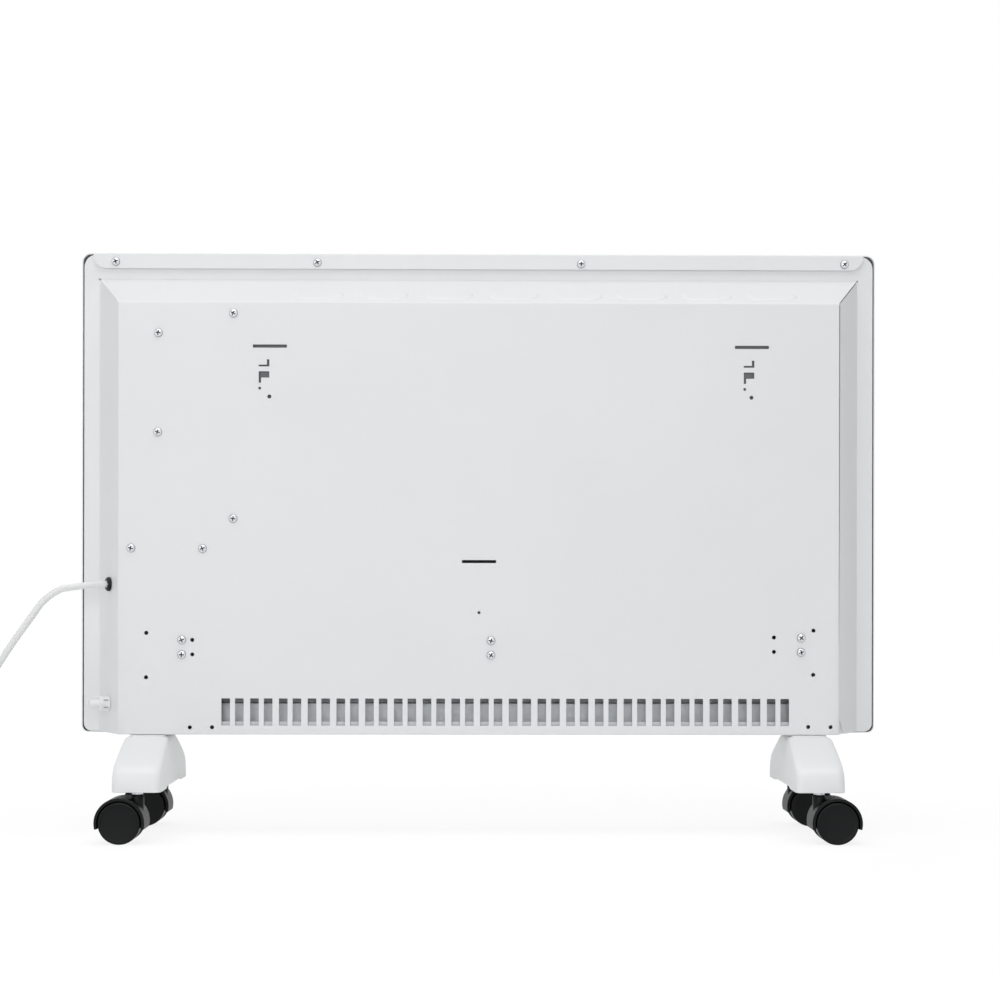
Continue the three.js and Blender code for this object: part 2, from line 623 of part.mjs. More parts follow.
function slopePoint(z) {
  return at(FOLD_HALF - FITTING_SHARE * SLOPE_IN, FLANGE_Y + FITTING_SHARE * SLOPE_DEPTH, z);
}

function slopeRod(radius, z, from, to, segments = 16) {
  const point = slopePoint(z);
  return rod(radius, point.clone().addScaledVector(SLOPE_NORMAL, from),
    point.clone().addScaledVector(SLOPE_NORMAL, to), segments);
}

// A block whose middle lies on the slope's normal, with its height along that normal.
function slopeBlock(z, width, height, thickness, distance, spin = 0) {
  const turn = new THREE.Quaternion().setFromUnitVectors(at(0, 1, 0), SLOPE_NORMAL);
  const middle = slopePoint(z).addScaledVector(SLOPE_NORMAL, distance);
  const geometry = new THREE.BoxGeometry(width, height, thickness).rotateY(spin);
  return solid(geometry, new THREE.Matrix4().compose(middle, turn, at(1, 1, 1)));
}

function slopeHoles() {
  return [
    slopeRod(BUSHING_NECK + SEAT, BUSHING_Z, -SHEET - 2, 2),
    slopeRod(BUSHING_NECK + SEAT, SENSOR_Z, -SHEET - 2, 2),
  ];
}

// A shallow tray that closes a wall bracket's slot and window off from the inside.
function hangerPocket(slotX, x) {
  const middle = (slotX + x) / 2;
  const low = HANGER_Z - POCKET_HEIGHT + 7;
  const rear = FACE_INNER_Y - SEAT;
  const tray = box(middle - POCKET_WIDTH / 2, middle + POCKET_WIDTH / 2, rear - POCKET_DEPTH, rear,
    low, low + POCKET_HEIGHT);
  return tray.subtract(box(middle - POCKET_WIDTH / 2 + SHEET, middle + POCKET_WIDTH / 2 - SHEET,
    rear - POCKET_DEPTH + SHEET, rear + 1, low + SHEET, low + POCKET_HEIGHT - SHEET));
}

// A folded channel on the floor of the casing, which turns the air from the slots upwards.
function intakeChannel() {
  const half = (2 * FACE_HALF - VENT_INSET[0] - VENT_INSET[1]) / 2 + CHANNEL_OVERRUN;
  const floor = CASING_BOTTOM + SHEET + SEAT;
  const near = FACE_INNER_Y - SEAT - 1.6;
  const far = near - CHANNEL_DEPTH;
  const shelf = floor + CHANNEL_BACK;
  const back = far - CHANNEL_STEP;
  const outline = polygon([[near, floor], [near, floor + CHANNEL_LIP], [near - SHEET, floor + CHANNEL_LIP],
    [near - SHEET, floor + SHEET], [far + SHEET, floor + SHEET], [far + SHEET, shelf],
    [back + SHEET, shelf], [back + SHEET, shelf + CHANNEL_RISE], [back, shelf + CHANNEL_RISE],
    [back, shelf - SHEET], [far, shelf - SHEET], [far, floor]]);
  return slab(outline, 'x', VENT_MIDDLE_X - half, VENT_MIDDLE_X + half);
}

// ---------------------------------------------------------------- heating element and its brackets

// The extruded section: a round core with six straight fins, grown by a clearance where it passes through.
function elementSection(from, to, grow) {
  const fins = FIN_ANGLES.map((angle) => {
    const half = FIN_THICKNESS / 2 + grow;
    const reach = ELEMENT_CORE + FIN_LENGTH + grow;
    const turn = angle * Math.PI / 180;
    const corners = [[0, -half], [reach, -half], [reach, half], [0, half]].map(([a, b]) => [
      ELEMENT_Y + a * Math.cos(turn) - b * Math.sin(turn),
      ELEMENT_Z + a * Math.sin(turn) + b * Math.cos(turn),
    ]);
    return slab(polygon(corners), 'x', from, to);
  });
  const core = rod(ELEMENT_CORE + grow, at(from, ELEMENT_Y, ELEMENT_Z), at(to, ELEMENT_Y, ELEMENT_Z), 16);
  return fuse([core, ...fins]);
}

function heatingElement() {
  const half = ELEMENT_LENGTH / 2;
  return elementSection(ELEMENT_MIDDLE_X - half, ELEMENT_MIDDLE_X + half, 0);
}

function elementEnd(side) {
  const start = ELEMENT_MIDDLE_X + side * (ELEMENT_LENGTH / 2 + SEAT);
  const pin = [[0, 0], [INSULATOR_RADIUS, 0], [INSULATOR_RADIUS, INSULATOR_LENGTH],
    [1.6, INSULATOR_LENGTH], [1.6, INSULATOR_LENGTH + 9], [0, INSULATOR_LENGTH + 9]];
  return turned(pin, 12, at(start, ELEMENT_Y, ELEMENT_Z), at(side, 0, 0));
}

function elementBracket(x) {
  const tip = ELEMENT_CORE + FIN_LENGTH;
  const low = ELEMENT_Z - tip - BRACKET_RIM;
  const high = ELEMENT_Z + tip + BRACKET_RIM;
  const rear = FACE_INNER_Y - SEAT;
  const web = x - BRACKET_WIDTH / 2;
  const foot = box(web, x + BRACKET_WIDTH / 2, rear - BRACKET_GAUGE, rear, low, high);
  const reach = ELEMENT_Y - tip * Math.cos(FIN_ANGLES[0] * Math.PI / 180) - BRACKET_RIM;
  const plate = box(web, web + BRACKET_GAUGE, reach, rear, low, high);
  const holes = [7.2, -7.2].map((dz) => rodAlongY(SCREW_HOLE, x, ELEMENT_Z + dz, rear - 3, rear + 1));
  return cutAll(foot.add(plate), [elementSection(web - 1, web + BRACKET_GAUGE + 1, SEAT), ...holes]);
}

// ---------------------------------------------------------------- controls

function fasciaBodyHalf() {
  return FASCIA_WIDTH / 2 - FASCIA_RIM;
}

function fasciaBodyRise() {
  return FASCIA_HEIGHT / 2 - FASCIA_RIM;
}

function buttonPlaces() {
  const rows = BUTTON_FALLS.map((share) => FASCIA_Z - share * FASCIA_HEIGHT);
  return rows.flatMap((z) => [[BOX_X - BUTTON_SPREAD / 2, z], [BOX_X + BUTTON_SPREAD / 2, z]]);
}

function displayOutline(grow) {
  const z = FASCIA_Z + DISPLAY_RISE * FASCIA_HEIGHT;
  return rounded(BOX_X - DISPLAY_WIDTH / 2 - grow, BOX_X + DISPLAY_WIDTH / 2 + grow,
    z - DISPLAY_HEIGHT / 2 - grow, z + DISPLAY_HEIGHT / 2 + grow, 3);
}

// A moulded tray: a rim that overlaps the panel's window, and a body that passes through it.
function controlFascia() {
  const face = PANEL_FRONT_Y - SEAT - FASCIA_PROUD;
  const seat = PANEL_FRONT_Y - SEAT;
  const inside = PANEL_FRONT_Y + FASCIA_DEPTH;
  const rim = slab(rounded(BOX_X - FASCIA_WIDTH / 2, BOX_X + FASCIA_WIDTH / 2,
    FASCIA_Z - FASCIA_HEIGHT / 2, FASCIA_Z + FASCIA_HEIGHT / 2, 8), 'y', face, seat);
  const body = slab(rounded(BOX_X - fasciaBodyHalf(), BOX_X + fasciaBodyHalf(),
    FASCIA_Z - fasciaBodyRise(), FASCIA_Z + fasciaBodyRise(), 5), 'y', seat - 0.1, inside);
  const hollow = slab(rounded(BOX_X - fasciaBodyHalf() + FASCIA_WALL, BOX_X + fasciaBodyHalf() - FASCIA_WALL,
    FASCIA_Z - fasciaBodyRise() + FASCIA_WALL, FASCIA_Z + fasciaBodyRise() - FASCIA_WALL, 3),
  'y', face + FASCIA_WALL, inside + 1);
  const windows = [
    slab(displayOutline(SEAT), 'y', face - 1, face + 1.4),
    slab(displayOutline(-3), 'y', face - 1, face + FASCIA_WALL + 1),
    ...buttonPlaces().map(([x, z]) => rodAlongY(BUTTON_RADIUS + RUNNING, x, z, face - 1, inside, 12)),
  ];
  return cutAll(rim.add(body), [hollow, ...windows]);
}

function displayWindow() {
  const face = PANEL_FRONT_Y - SEAT - FASCIA_PROUD;
  return slab(displayOutline(0), 'y', face, face + 1.4 - SEAT);
}

// The button's shoulder keeps it behind the fascia, and its stem ends just off the board.
function button([x, z]) {
  const face = PANEL_FRONT_Y - SEAT - FASCIA_PROUD;
  const shoulder = face + FASCIA_WALL + SEAT;
  const end = boardFrontY() - BUTTON_TRAVEL - SEAT;
  const profile = [[0, 0], [BUTTON_RADIUS - 0.8, 0], [BUTTON_RADIUS, 0.8],
    [BUTTON_RADIUS, shoulder - face + BUTTON_PROUD],
    [BUTTON_RADIUS + 1.4, shoulder - face + BUTTON_PROUD],
    [BUTTON_RADIUS + 1.4, shoulder - face + BUTTON_PROUD + 1],
    [2, shoulder - face + BUTTON_PROUD + 1],
    [2, end - face + BUTTON_PROUD], [0, end - face + BUTTON_PROUD]];
  return turned(profile, 12, at(x, face - BUTTON_PROUD, z), at(0, 1, 0));
}

function boxFloorY() {
  return FACE_INNER_Y - SEAT;
}

function boxMouthY() {
  return boxFloorY() - BOX_DEPTH;
}

function boardFrontY() {
  return boxMouthY() - SEAT - BOARD_GAUGE;
}

function controlBox() {
  const x0 = BOX_X - BOX_WIDTH / 2;
  const x1 = BOX_X + BOX_WIDTH / 2;
  const z1 = BOX_BOTTOM + BOX_HEIGHT;
  const shell = slab(rounded(x0, x1, BOX_BOTTOM, z1, 6), 'y', boxMouthY(), boxFloorY());
  const hollow = slab(rounded(x0 + BOX_WALL, x1 - BOX_WALL, BOX_BOTTOM + BOX_WALL, z1 - BOX_WALL, 4),
    'y', boxMouthY() - 1, boxFloorY() - BOX_WALL);
  const places = BOX_SCREWS.map(([across, up]) => [x0 + across * BOX_WIDTH, BOX_BOTTOM + up * BOX_HEIGHT]);
  const bosses = places.map(([x, z]) => rodAlongY(BOX_SCREW_BOSS, x, z, boxFloorY() - 11, boxFloorY(), 8));
  const holes = places.map(([x, z]) => rodAlongY(SCREW_HOLE, x, z, boxFloorY() - 9, boxFloorY() + 1, 6));
  return cutAll(shell.subtract(hollow).add(fuse(bosses)), holes);
}

// The board lies on the mouth of the box, behind the display and the buttons.
function controlBoard() {
  const x0 = BOX_X - BOX_WIDTH / 2 + 4;
  const x1 = BOX_X + BOX_WIDTH / 2 - 4;
  const rise = FASCIA_HEIGHT / 2;
  const plate = slab(rounded(x0 - 3, x1 + 3, FASCIA_Z - rise, FASCIA_Z + rise, 2), 'y',
    boardFrontY(), boardFrontY() + BOARD_GAUGE);
  const behind = boardFrontY() + BOARD_GAUGE - 0.1;
  const relay = box(x0 + 8, x0 + 28, behind, behind + 15, FASCIA_Z - 60, FASCIA_Z - 44);
  const capacitor = rodAlongY(6, x1 - 20, FASCIA_Z - 48, behind, behind + 18, 14);
  const transformer = box(x0 + 12, x0 + 42, behind, behind + 22, FASCIA_Z + 8, FASCIA_Z + 34);
  const display = slab(displayOutline(-3.5), 'y',
    PANEL_FRONT_Y - FASCIA_PROUD + FASCIA_WALL + SEAT, boardFrontY() + 0.1);
  return fuse([plate, relay, capacitor, transformer, display]);
}

function terminalBlock() {
  const y = FACE_INNER_Y - SEAT;
  const x = FACE_HALF - TERMINAL_INSET;
  const z = BOX_BOTTOM - TERMINAL_FALL;
  const block = box(x - TERMINAL_WIDTH / 2, x + TERMINAL_WIDTH / 2, y - 16, y,
    z - TERMINAL_HEIGHT / 2, z + TERMINAL_HEIGHT / 2);
  const ways = [-1, 0, 1].map((way) => rodAlongY(2.6, x + way * TERMINAL_WIDTH / 3, z, y - 18, y - 8, 8));
  return cutAll(block, ways);
}

// A disc thermostat on the middle bracket, in the space between two fins.
function thermalCutout() {
  const x = BRACKET_X[1] - BRACKET_WIDTH / 2 + BRACKET_GAUGE + SEAT;
  const turn = (FIN_ANGLES[0] + FIN_ANGLES[1]) / 2 * Math.PI / 180;
  const y = ELEMENT_Y + 23 * Math.cos(turn);
  const z = ELEMENT_Z + 23 * Math.sin(turn);
  const profile = [[0, 0], [8, 0], [8, 1.2], [6.8, 1.2], [6.8, 7.5], [4, 7.5], [4, 10], [0, 10]];
  return turned(profile, 16, at(x, y, z), at(1, 0, 0));
}

// The tip-over switch stands on the floor of the control box.
function tiltSwitch() {
  const y = boxFloorY() - BOX_WALL - SEAT;
  const x = BOX_X - 20;
  const z = BOX_BOTTOM + 46;
  return fuse([
    box(x - 13, x + 13, y - 14, y - 1, z, z + 22),
    box(x - 19, x + 19, y - 2, y, z + 6, z + 16),
  ]);
}

// ---------------------------------------------------------------- fittings on the side slope

// A two-jaw strain relief: tapered head outside, snap shoulder inside, split down the middle.
function cordBushing() {
  const inner = -SHEET - SEAT;
  const profile = [[0, inner - BUSHING_TAIL], [4.4, inner - BUSHING_TAIL], [BUSHING_NECK + 0.8, inner - 2.5],
    [BUSHING_NECK + 0.8, inner], [BUSHING_NECK, inner], [BUSHING_NECK, SEAT], [BUSHING_RADIUS, SEAT],
    [BUSHING_RADIUS, SEAT + 2.4], [BUSHING_RADIUS - 1.2, SEAT + BUSHING_LENGTH], [0, SEAT + BUSHING_LENGTH]];
  const body = turned(profile, 16, slopePoint(BUSHING_Z), SLOPE_NORMAL);
  const bore = slopeRod(CORD_DIAMETER / 2 + SEAT, BUSHING_Z, CORD_SEAT, SEAT + BUSHING_LENGTH + 1);
  const jaw = slopeBlock(BUSHING_Z, 30, 3.6, 1.1, SEAT + BUSHING_LENGTH);
  return cutAll(body, [bore, jaw]);
}

// A vented collar with a closed nose that holds the temperature probe away from the warm sheet.
function sensorHousing() {
  const inner = -SHEET - SEAT;
  const profile = [[0, inner - 3], [4.5, inner - 3], [BUSHING_NECK + 0.8, inner - 1.5],
    [BUSHING_NECK + 0.8, inner], [BUSHING_NECK, inner], [BUSHING_NECK, SEAT], [SENSOR_RADIUS + 1.2, SEAT],
    [SENSOR_RADIUS + 1.2, SEAT + 1.4], [SENSOR_RADIUS, SEAT + 1.8],
    [SENSOR_RADIUS, SENSOR_COLLAR - 1.2], [SENSOR_RADIUS - 1.2, SENSOR_COLLAR],
    [SENSOR_NOSE_RADIUS, SENSOR_COLLAR], [SENSOR_NOSE_RADIUS, SENSOR_LENGTH - 2.4],
    [SENSOR_NOSE_RADIUS - 2, SENSOR_LENGTH - 0.5], [0, SENSOR_LENGTH]];
  const body = turned(profile, 14, slopePoint(SENSOR_Z), SLOPE_NORMAL);
  const bore = slopeRod(2.2, SENSOR_Z, inner - 4, SENSOR_LENGTH - 2.5, 8);
  const slits = Array.from({ length: SENSOR_SLITS / 2 }, (_, i) => slopeBlock(SENSOR_Z, SENSOR_RADIUS * 4,
    5.4, 1.8, 5.6, i * Math.PI * 2 / SENSOR_SLITS));
  const core = slopeRod(4.2, SENSOR_Z, SEAT + 1, SENSOR_COLLAR - 0.5, 8);
  return cutAll(body, slits).add(core).subtract(bore);
}

function sensorProbe() {
  return slopeRod(2.2 - SEAT, SENSOR_Z, -6, SENSOR_LENGTH - 2.5 - SEAT, 8);
}

// ---------------------------------------------------------------- feet

// Height up the foot as a share, half depth and half width in mm, corner radius.
function footStations() {
  const depth = FOOT_DEPTH / 2;
  const width = FOOT_WIDTH / 2;
  const neck = FOOT_NECK_DEPTH / 2;
  const shoulder = FOOT_HEIGHT - FOOT_NECK;
  return [
    [0, depth, width, 3.5],
    [19, depth - 1, width - 0.2, 4],
    [22.8, depth - 3.6, width - 0.3, 4.5],
    [25.4, depth - 8.6, width - 0.4, 5],
    [30, depth - 20.5, width - 0.6, 5.5],
    [shoulder - 2.2, neck + 9.5, width - 2, 5.5],
    [shoulder - 0.7, neck + 5.4, width - 3, 5],
    [shoulder, neck + 1.8, width - 4.6, 4.5],
  ];
}

function footSection(z, depth, width, radius) {
  const points = rounded(-width, width, -depth, depth, Math.max(radius, 1.5)).extractPoints(2).shape;
  return points.slice(0, -1).map((p) => at(p.x, p.y, z));
}

function footBody(side) {
  const x = side * FOOT_X;
  const outer = footStations().map(([up, depth, width, radius]) =>
    footSection(CASTOR_HEIGHT + up, depth, width, radius));
  const inner = footStations().map(([up, depth, width, radius], level) =>
    footSection(CASTOR_HEIGHT + up - (level ? FOOT_WALL : 1), depth - FOOT_WALL, width - FOOT_WALL,
      radius - FOOT_WALL));
  const neck = slab(rounded(-FOOT_NECK_WIDTH / 2, FOOT_NECK_WIDTH / 2, -FOOT_NECK_DEPTH / 2,
    FOOT_NECK_DEPTH / 2, 6), 'z', FOOT_TOP - FOOT_NECK - FOOT_WALL, FOOT_TOP);
  const skin = loft(outer);
  const bosses = [1, -1].map((end) =>
    rod(STEM_RADIUS + RUNNING + STEM_BOSS, at(0, end * STEM_Y, CASTOR_HEIGHT),
      at(0, end * STEM_Y, FOOT_TOP), 12).intersect(skin));
  const sockets = [1, -1].map((end) =>
    rod(STEM_RADIUS + SEAT, at(0, end * STEM_Y, CASTOR_HEIGHT - 1),
      at(0, end * STEM_Y, CASTOR_HEIGHT + STEM_SHANK + SEAT), 12));
  const arch = slab(archOutline(), 'x', -FOOT_WIDTH, FOOT_WIDTH);
  const body = skin.subtract(loft(inner)).add(fuse(bosses)).add(neck);
  return cutAll(body, [...sockets, arch]).translate([x, 0, 0]);
}

function archOutline() {
  const half = STEM_Y - 24;
  return polygon([[-half - 3, CASTOR_HEIGHT - 1], [half + 3, CASTOR_HEIGHT - 1],
    [half - 14, CASTOR_HEIGHT + FOOT_ARCH], [-half + 14, CASTOR_HEIGHT + FOOT_ARCH]]);
}

// ---------------------------------------------------------------- castors

function castorStem() {
  const top = CASTOR_HEIGHT - SEAT;
  const tip = CASTOR_HEIGHT + STEM_SHANK;
  return turned([[0, BOSS_TOP - STEM_DEPTH], [STEM_RADIUS, BOSS_TOP - STEM_DEPTH],
    [STEM_RADIUS, BOSS_TOP + SEAT], [STEM_COLLAR_RADIUS, BOSS_TOP + SEAT], [STEM_COLLAR_RADIUS, top],
    [STEM_RADIUS, top], [STEM_RADIUS, tip - 1], [STEM_RADIUS - 1, tip], [0, tip]], 12, at(0, 0, 0), UP);
}

// The hood over the wheels, drawn across and up from the axle.
function hoodOutline(inner) {
  const low = -HOOD_DROP * Math.PI / 180;
  const far = Math.PI - low;
  const shape = new THREE.Shape();
  shape.absarc(0, 0, HOOD_OUTER, low, far);
  if (inner) {
    shape.absarc(0, 0, inner, far, low, true);
  }
  return shape;
}

function castorBody() {
  const half = CASTOR_HALF - HOOD_INSET;
  const hood = slab(hoodOutline(HOOD_INNER), 'y', -half, half, 8);
  const web = slab(hoodOutline(0), 'y', -WEB_WIDTH / 2, WEB_WIDTH / 2, 8);
  const carrier = hood.add(web).translate([CASTOR_TRAIL, 0, WHEEL_RADIUS]);
  const boss = rod(BOSS_RADIUS, at(0, 0, WHEEL_RADIUS), at(0, 0, BOSS_TOP), 14);
  const wheels = [1, -1].map((side) => rod(HOOD_INNER, at(CASTOR_TRAIL, side * WEB_WIDTH / 2, WHEEL_RADIUS),
    at(CASTOR_TRAIL, side * CASTOR_HALF * 2, WHEEL_RADIUS), 24));
  const floor = BOSS_TOP - STEM_DEPTH - RUNNING;
  const bore = rod(STEM_RADIUS + RUNNING, at(0, 0, floor), at(0, 0, BOSS_TOP + 1), 12);
  const pivot = rod(AXLE_RADIUS + SEAT, at(CASTOR_TRAIL, -WEB_WIDTH, WHEEL_RADIUS),
    at(CASTOR_TRAIL, WEB_WIDTH, WHEEL_RADIUS), 12);
  return cutAll(carrier.add(cutAll(boss, wheels)), [bore, pivot]);
}

function castorAxle() {
  const reach = WHEEL_INNER + AXLE_GRIP;
  return rod(AXLE_RADIUS, at(CASTOR_TRAIL, -reach, WHEEL_RADIUS), at(CASTOR_TRAIL, reach, WHEEL_RADIUS), 12);
}

// A plain-faced wheel with a blind bore and a chamfered edge.
function castorWheel(side) {
  const bore = AXLE_RADIUS + RUNNING;
  const profile = [[bore, 0], [bore, AXLE_GRIP + RUNNING], [0, AXLE_GRIP + RUNNING], [0, WHEEL_WIDTH],
    [WHEEL_RADIUS - WHEEL_EDGE, WHEEL_WIDTH], [WHEEL_RADIUS, WHEEL_WIDTH - WHEEL_EDGE],
    [WHEEL_RADIUS, 0], [bore, 0]];
  const start = at(CASTOR_TRAIL, side * WHEEL_INNER, WHEEL_RADIUS);
  return turned(profile, 22, start, at(0, side, 0));
}

function castor(name, x, y) {
  const group = new THREE.Group();
  group.position.set(x, y, 0);
  if (x < 0) {
    group.rotation.z = Math.PI;
  }
  place(`${name}_stem`, castorStem(), zinc, group);
  place(`${name}_hood`, castorBody(), blackPlastic, group);
  place(`${name}_axle`, castorAxle(), zinc, group);
  place(`${name}_wheel_front`, castorWheel(x < 0 ? 1 : -1), blackPlastic, group);
  place(`${name}_wheel_rear`, castorWheel(x < 0 ? -1 : 1), blackPlastic, group);
  heater.add(group);
}

// ---------------------------------------------------------------- cord and plug

// The free stretch hangs from the strain relief to the coil on the floor.
const CORD_ROUTE = [
  [377.0, 1.8, 246.9], [384.0, 5.1, 246.2], [392.0, 8.2, 245.1], [402.0, 10.9, 243.8],
  [411.5, 12.3, 242.0], [420.0, 13.0, 238.4], [427.2, 13.2, 233.0], [433.2, 13.4, 226.3],
  [438.5, 13.4, 217.7], [446.5, 13.4, 206.8], [455.5, 13.4, 194.2], [464.5, 13.2, 181.0],
  [473.5, 12.8, 167.0], [482.5, 12.2, 152.2], [491.5, 11.4, 136.6], [500.0, 10.2, 120.2],
  [508.0, 8.8, 103.4], [515.2, 7.4, 86.4], [522.2, 6.0, 69.6], [529.4, 5.0, 53.8],
  [537.2, 4.4, 39.4], [546.0, 4.1, 27.0], [555.5, 4.1, 17.6],
].map(([x, y, z]) => at(x, y, z));

// A section of the cord swept along a smooth curve through points.
function cordTube(points, steps) {
  const section = new THREE.Shape(Array.from({ length: 10 }, (_, i) => new THREE.Vector2(
    Math.cos(i * Math.PI / 5) * CORD_DIAMETER / 2, Math.sin(i * Math.PI / 5) * CORD_DIAMETER / 2)));
  const extrudePath = new THREE.CatmullRomCurve3(points, false, 'centripetal');
  return solid(new THREE.ExtrudeGeometry(section, { steps, bevelEnabled: false, extrudePath }));
}

function cordStart() {
  return slopePoint(BUSHING_Z).addScaledVector(SLOPE_NORMAL, CORD_SEAT + SEAT);
}

function runPoints() {
  const end = coilPoint(0).addScaledVector(coilHeading(0), -CORD_DIAMETER - SEAT);
  const before = end.clone().addScaledVector(coilHeading(0), -3.4);
  return [cordStart(), ...CORD_ROUTE, before, end];
}

function tailPoints() {
  const start = coilPoint(COIL_TURNS).addScaledVector(coilHeading(COIL_TURNS), CORD_DIAMETER + SEAT);
  const rise = PLUG_RADIUS + PLUG_REST - CORD_REST;
  const reach = PLUG_Y - SEAT - start.y;
  return [0, 0.1, 0.3, 0.5, 0.7, 0.9, 1].map((share) => {
    const climb = THREE.MathUtils.smoothstep(share, 0.1, 0.9);
    return at(start.x, start.y + reach * share, CORD_REST + rise * climb);
  });
}

// The coil lies flat in two layers: the upper turns spiral in, and the cord drops to the lower layer in the
// half turn where the spiral reverses, then spirals out again.
function coilPoint(turn) {
  const half = COIL_TURNS / 2;
  const radius = COIL_OUTER - COIL_PITCH * Math.min(turn, COIL_TURNS - turn);
  const drop = THREE.MathUtils.clamp((turn - half) * 2 + 0.5, 0, 1);
  const angle = turn * Math.PI * 2 - Math.PI / 2;
  return at(COIL_X + radius * Math.cos(angle), COIL_Y + radius * Math.sin(angle),
    CORD_REST + COIL_LAYER * (1 - drop));
}

function coilHeading(turn) {
  const angle = turn * Math.PI * 2;
  return at(Math.cos(angle), Math.sin(angle), 0);
}

function coilPath() {
  const steps = Math.round(COIL_TURNS * COIL_STEPS);
  const turns = Array.from({ length: steps + 1 }, (_, i) => coilPoint(i / COIL_STEPS));
  const start = coilPoint(0).addScaledVector(coilHeading(0), -CORD_DIAMETER);
  const end = coilPoint(COIL_TURNS).addScaledVector(coilHeading(COIL_TURNS), CORD_DIAMETER);
  return [start, ...turns, end];
}

function cordCoil() {
  const path = coilPath();
  const rings = path.map((point, i) => {
    const heading = path[Math.min(i + 1, path.length - 1)].clone().sub(path[Math.max(i - 1, 0)]);
    if (i < 1 || i > path.length - 2) {
      heading.z = 0;
    }
    heading.normalize();
    const side = heading.clone().cross(UP).normalize();
    const lift = heading.clone().cross(side);
    return Array.from({ length: 6 }, (_, k) => {
      const angle = (k + 0.5) * Math.PI / 3;
      return point.clone().addScaledVector(side, Math.cos(angle) * CORD_DIAMETER / 2)
        .addScaledVector(lift, Math.sin(angle) * CORD_DIAMETER / 2);
    });
  });
  return loft(rings);
}

// The least distance between two stretches of the coil that lie more than two diameters apart on the cord.
function leastCoilGap() {
  const path = coilPath();
  const along = path.map(() => 0);
  for (let i = 1; i < path.length; i += 1) {
    along[i] = along[i - 1] + path[i].distanceTo(path[i - 1]);
  }
  let least = Infinity;
  path.forEach((a, i) => path.slice(i + 1).forEach((b, k) => {
    if (along[i + 1 + k] - along[i] > CORD_DIAMETER * 2) {
      least = Math.min(least, a.distanceTo(b) - CORD_DIAMETER);
    }
  }));
  return least;
}

function lengthOf(points) {
  return new THREE.CatmullRomCurve3(points, false, 'centripetal').getLength();
}

function plugStart() {
  const end = coilPoint(COIL_TURNS);
  return at(end.x, PLUG_Y, PLUG_RADIUS + PLUG_REST);
}

function plugPinPlaces() {
  return [1, -1].map((side) => plugStart().add(at(side * PIN_SPACING / 2, PLUG_NECK + PLUG_LENGTH, 0)));
}

function plugBody() {
  const face = PLUG_NECK + PLUG_LENGTH;
  const profile = [[0, 0], [4.8, 0], [6.2, PLUG_NECK - 3], [10.5, PLUG_NECK], [14.5, PLUG_NECK + 6],
    [15.5, face - 16], [PLUG_RADIUS, face - 13], [PLUG_RADIUS, face - 0.8],
    [PLUG_RADIUS - 0.8, face], [0, face]];
  const sockets = plugPinPlaces().map((p) =>
    rod(PIN_RADIUS + SEAT, p.clone().add(at(0, -8, 0)), p.clone().add(at(0, 1, 0)), 8));
  return cutAll(turned(profile, 18, plugStart(), at(0, 1, 0)), sockets);
}

function plugPin(place) {
  const start = place.clone().add(at(0, -8 + SEAT, 0));
  const length = PIN_LENGTH + 8 - SEAT;
  const profile = [[0, 0], [PIN_RADIUS, 0], [PIN_RADIUS, length - 1.6], [PIN_RADIUS - 1.4, length],
    [0, length]];
  return turned(profile, 8, start, at(0, 1, 0));
}

// ---------------------------------------------------------------- assembly

place('front_panel', frontPanel(), whiteEnamel);
lipScrews();
place('rear_casing', rearCasing(), whiteEnamel);
['right', 'left'].forEach((where, i) =>
  place(`hanger_pocket_${where}`, hangerPocket(HANGER_X[i], HANGER_X[i] + WINDOW_SHIFT[i]), zinc));
place('intake_channel', intakeChannel(), zinc);

place('heating_element', heatingElement(), aluminium);
place('element_end_right', elementEnd(1), ceramic);
place('element_end_left', elementEnd(-1), ceramic);
['right', 'middle', 'left'].forEach((where, i) =>
  place(`element_bracket_${where}`, elementBracket(BRACKET_X[i]), zinc));
place('thermal_cutout', thermalCutout(), blackPlastic);

place('control_box', controlBox(), greyPlastic);
place('control_board', controlBoard(), circuitGreen);
place('tilt_switch', tiltSwitch(), blackPlastic);
place('terminal_block', terminalBlock(), whitePlastic);
place('control_fascia', controlFascia(), whitePlastic);
place('display_window', displayWindow(), darkGlass);
['minus', 'plus', 'power', 'mode'].forEach((job, i) =>
  place(`button_${job}`, button(buttonPlaces()[i]), greyPlastic));

place('cord_bushing', cordBushing(), blackPlastic);
place('sensor_housing', sensorHousing(), whitePlastic);
place('sensor_probe', sensorProbe(), blackPlastic);

place('foot_right', footBody(1), whitePlastic);
place('foot_left', footBody(-1), whitePlastic);
castor('castor_rear_right', FOOT_X, STEM_Y);
castor('castor_front_right', FOOT_X, -STEM_Y);
castor('castor_rear_left', -FOOT_X, STEM_Y);
castor('castor_front_left', -FOOT_X, -STEM_Y);

place('cord_run', cordTube(runPoints(), 26), whitePlastic);
place('cord_coil', cordCoil(), whitePlastic);
place('cord_tail', cordTube(tailPoints(), 10), whitePlastic);
place('plug_body', plugBody(), whitePlastic);
plugPinPlaces().forEach((where, i) => place(`plug_pin_${i + 1}`, plugPin(where), brass));

console.log(`least gap in the coil: ${leastCoilGap().toFixed(2)} mm`);
const cordLength = [runPoints(), coilPath(), tailPoints()].reduce((sum, line) => sum + lengthOf(line), 0);
console.log(`cord: ${cordLength.toFixed(0)} mm`);

export default heater;
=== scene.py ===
"""Looks of a free-standing panel convector heater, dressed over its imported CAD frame.

Lengths in this file are millimetres until a mesh is made, where MM turns them to metres.
+Z is up, the rear casing faces +Y and the front panel -Y. Right, +X, is the right of someone in front.
"""

import math

import bmesh
import bpy
from mathutils import Matrix, Vector


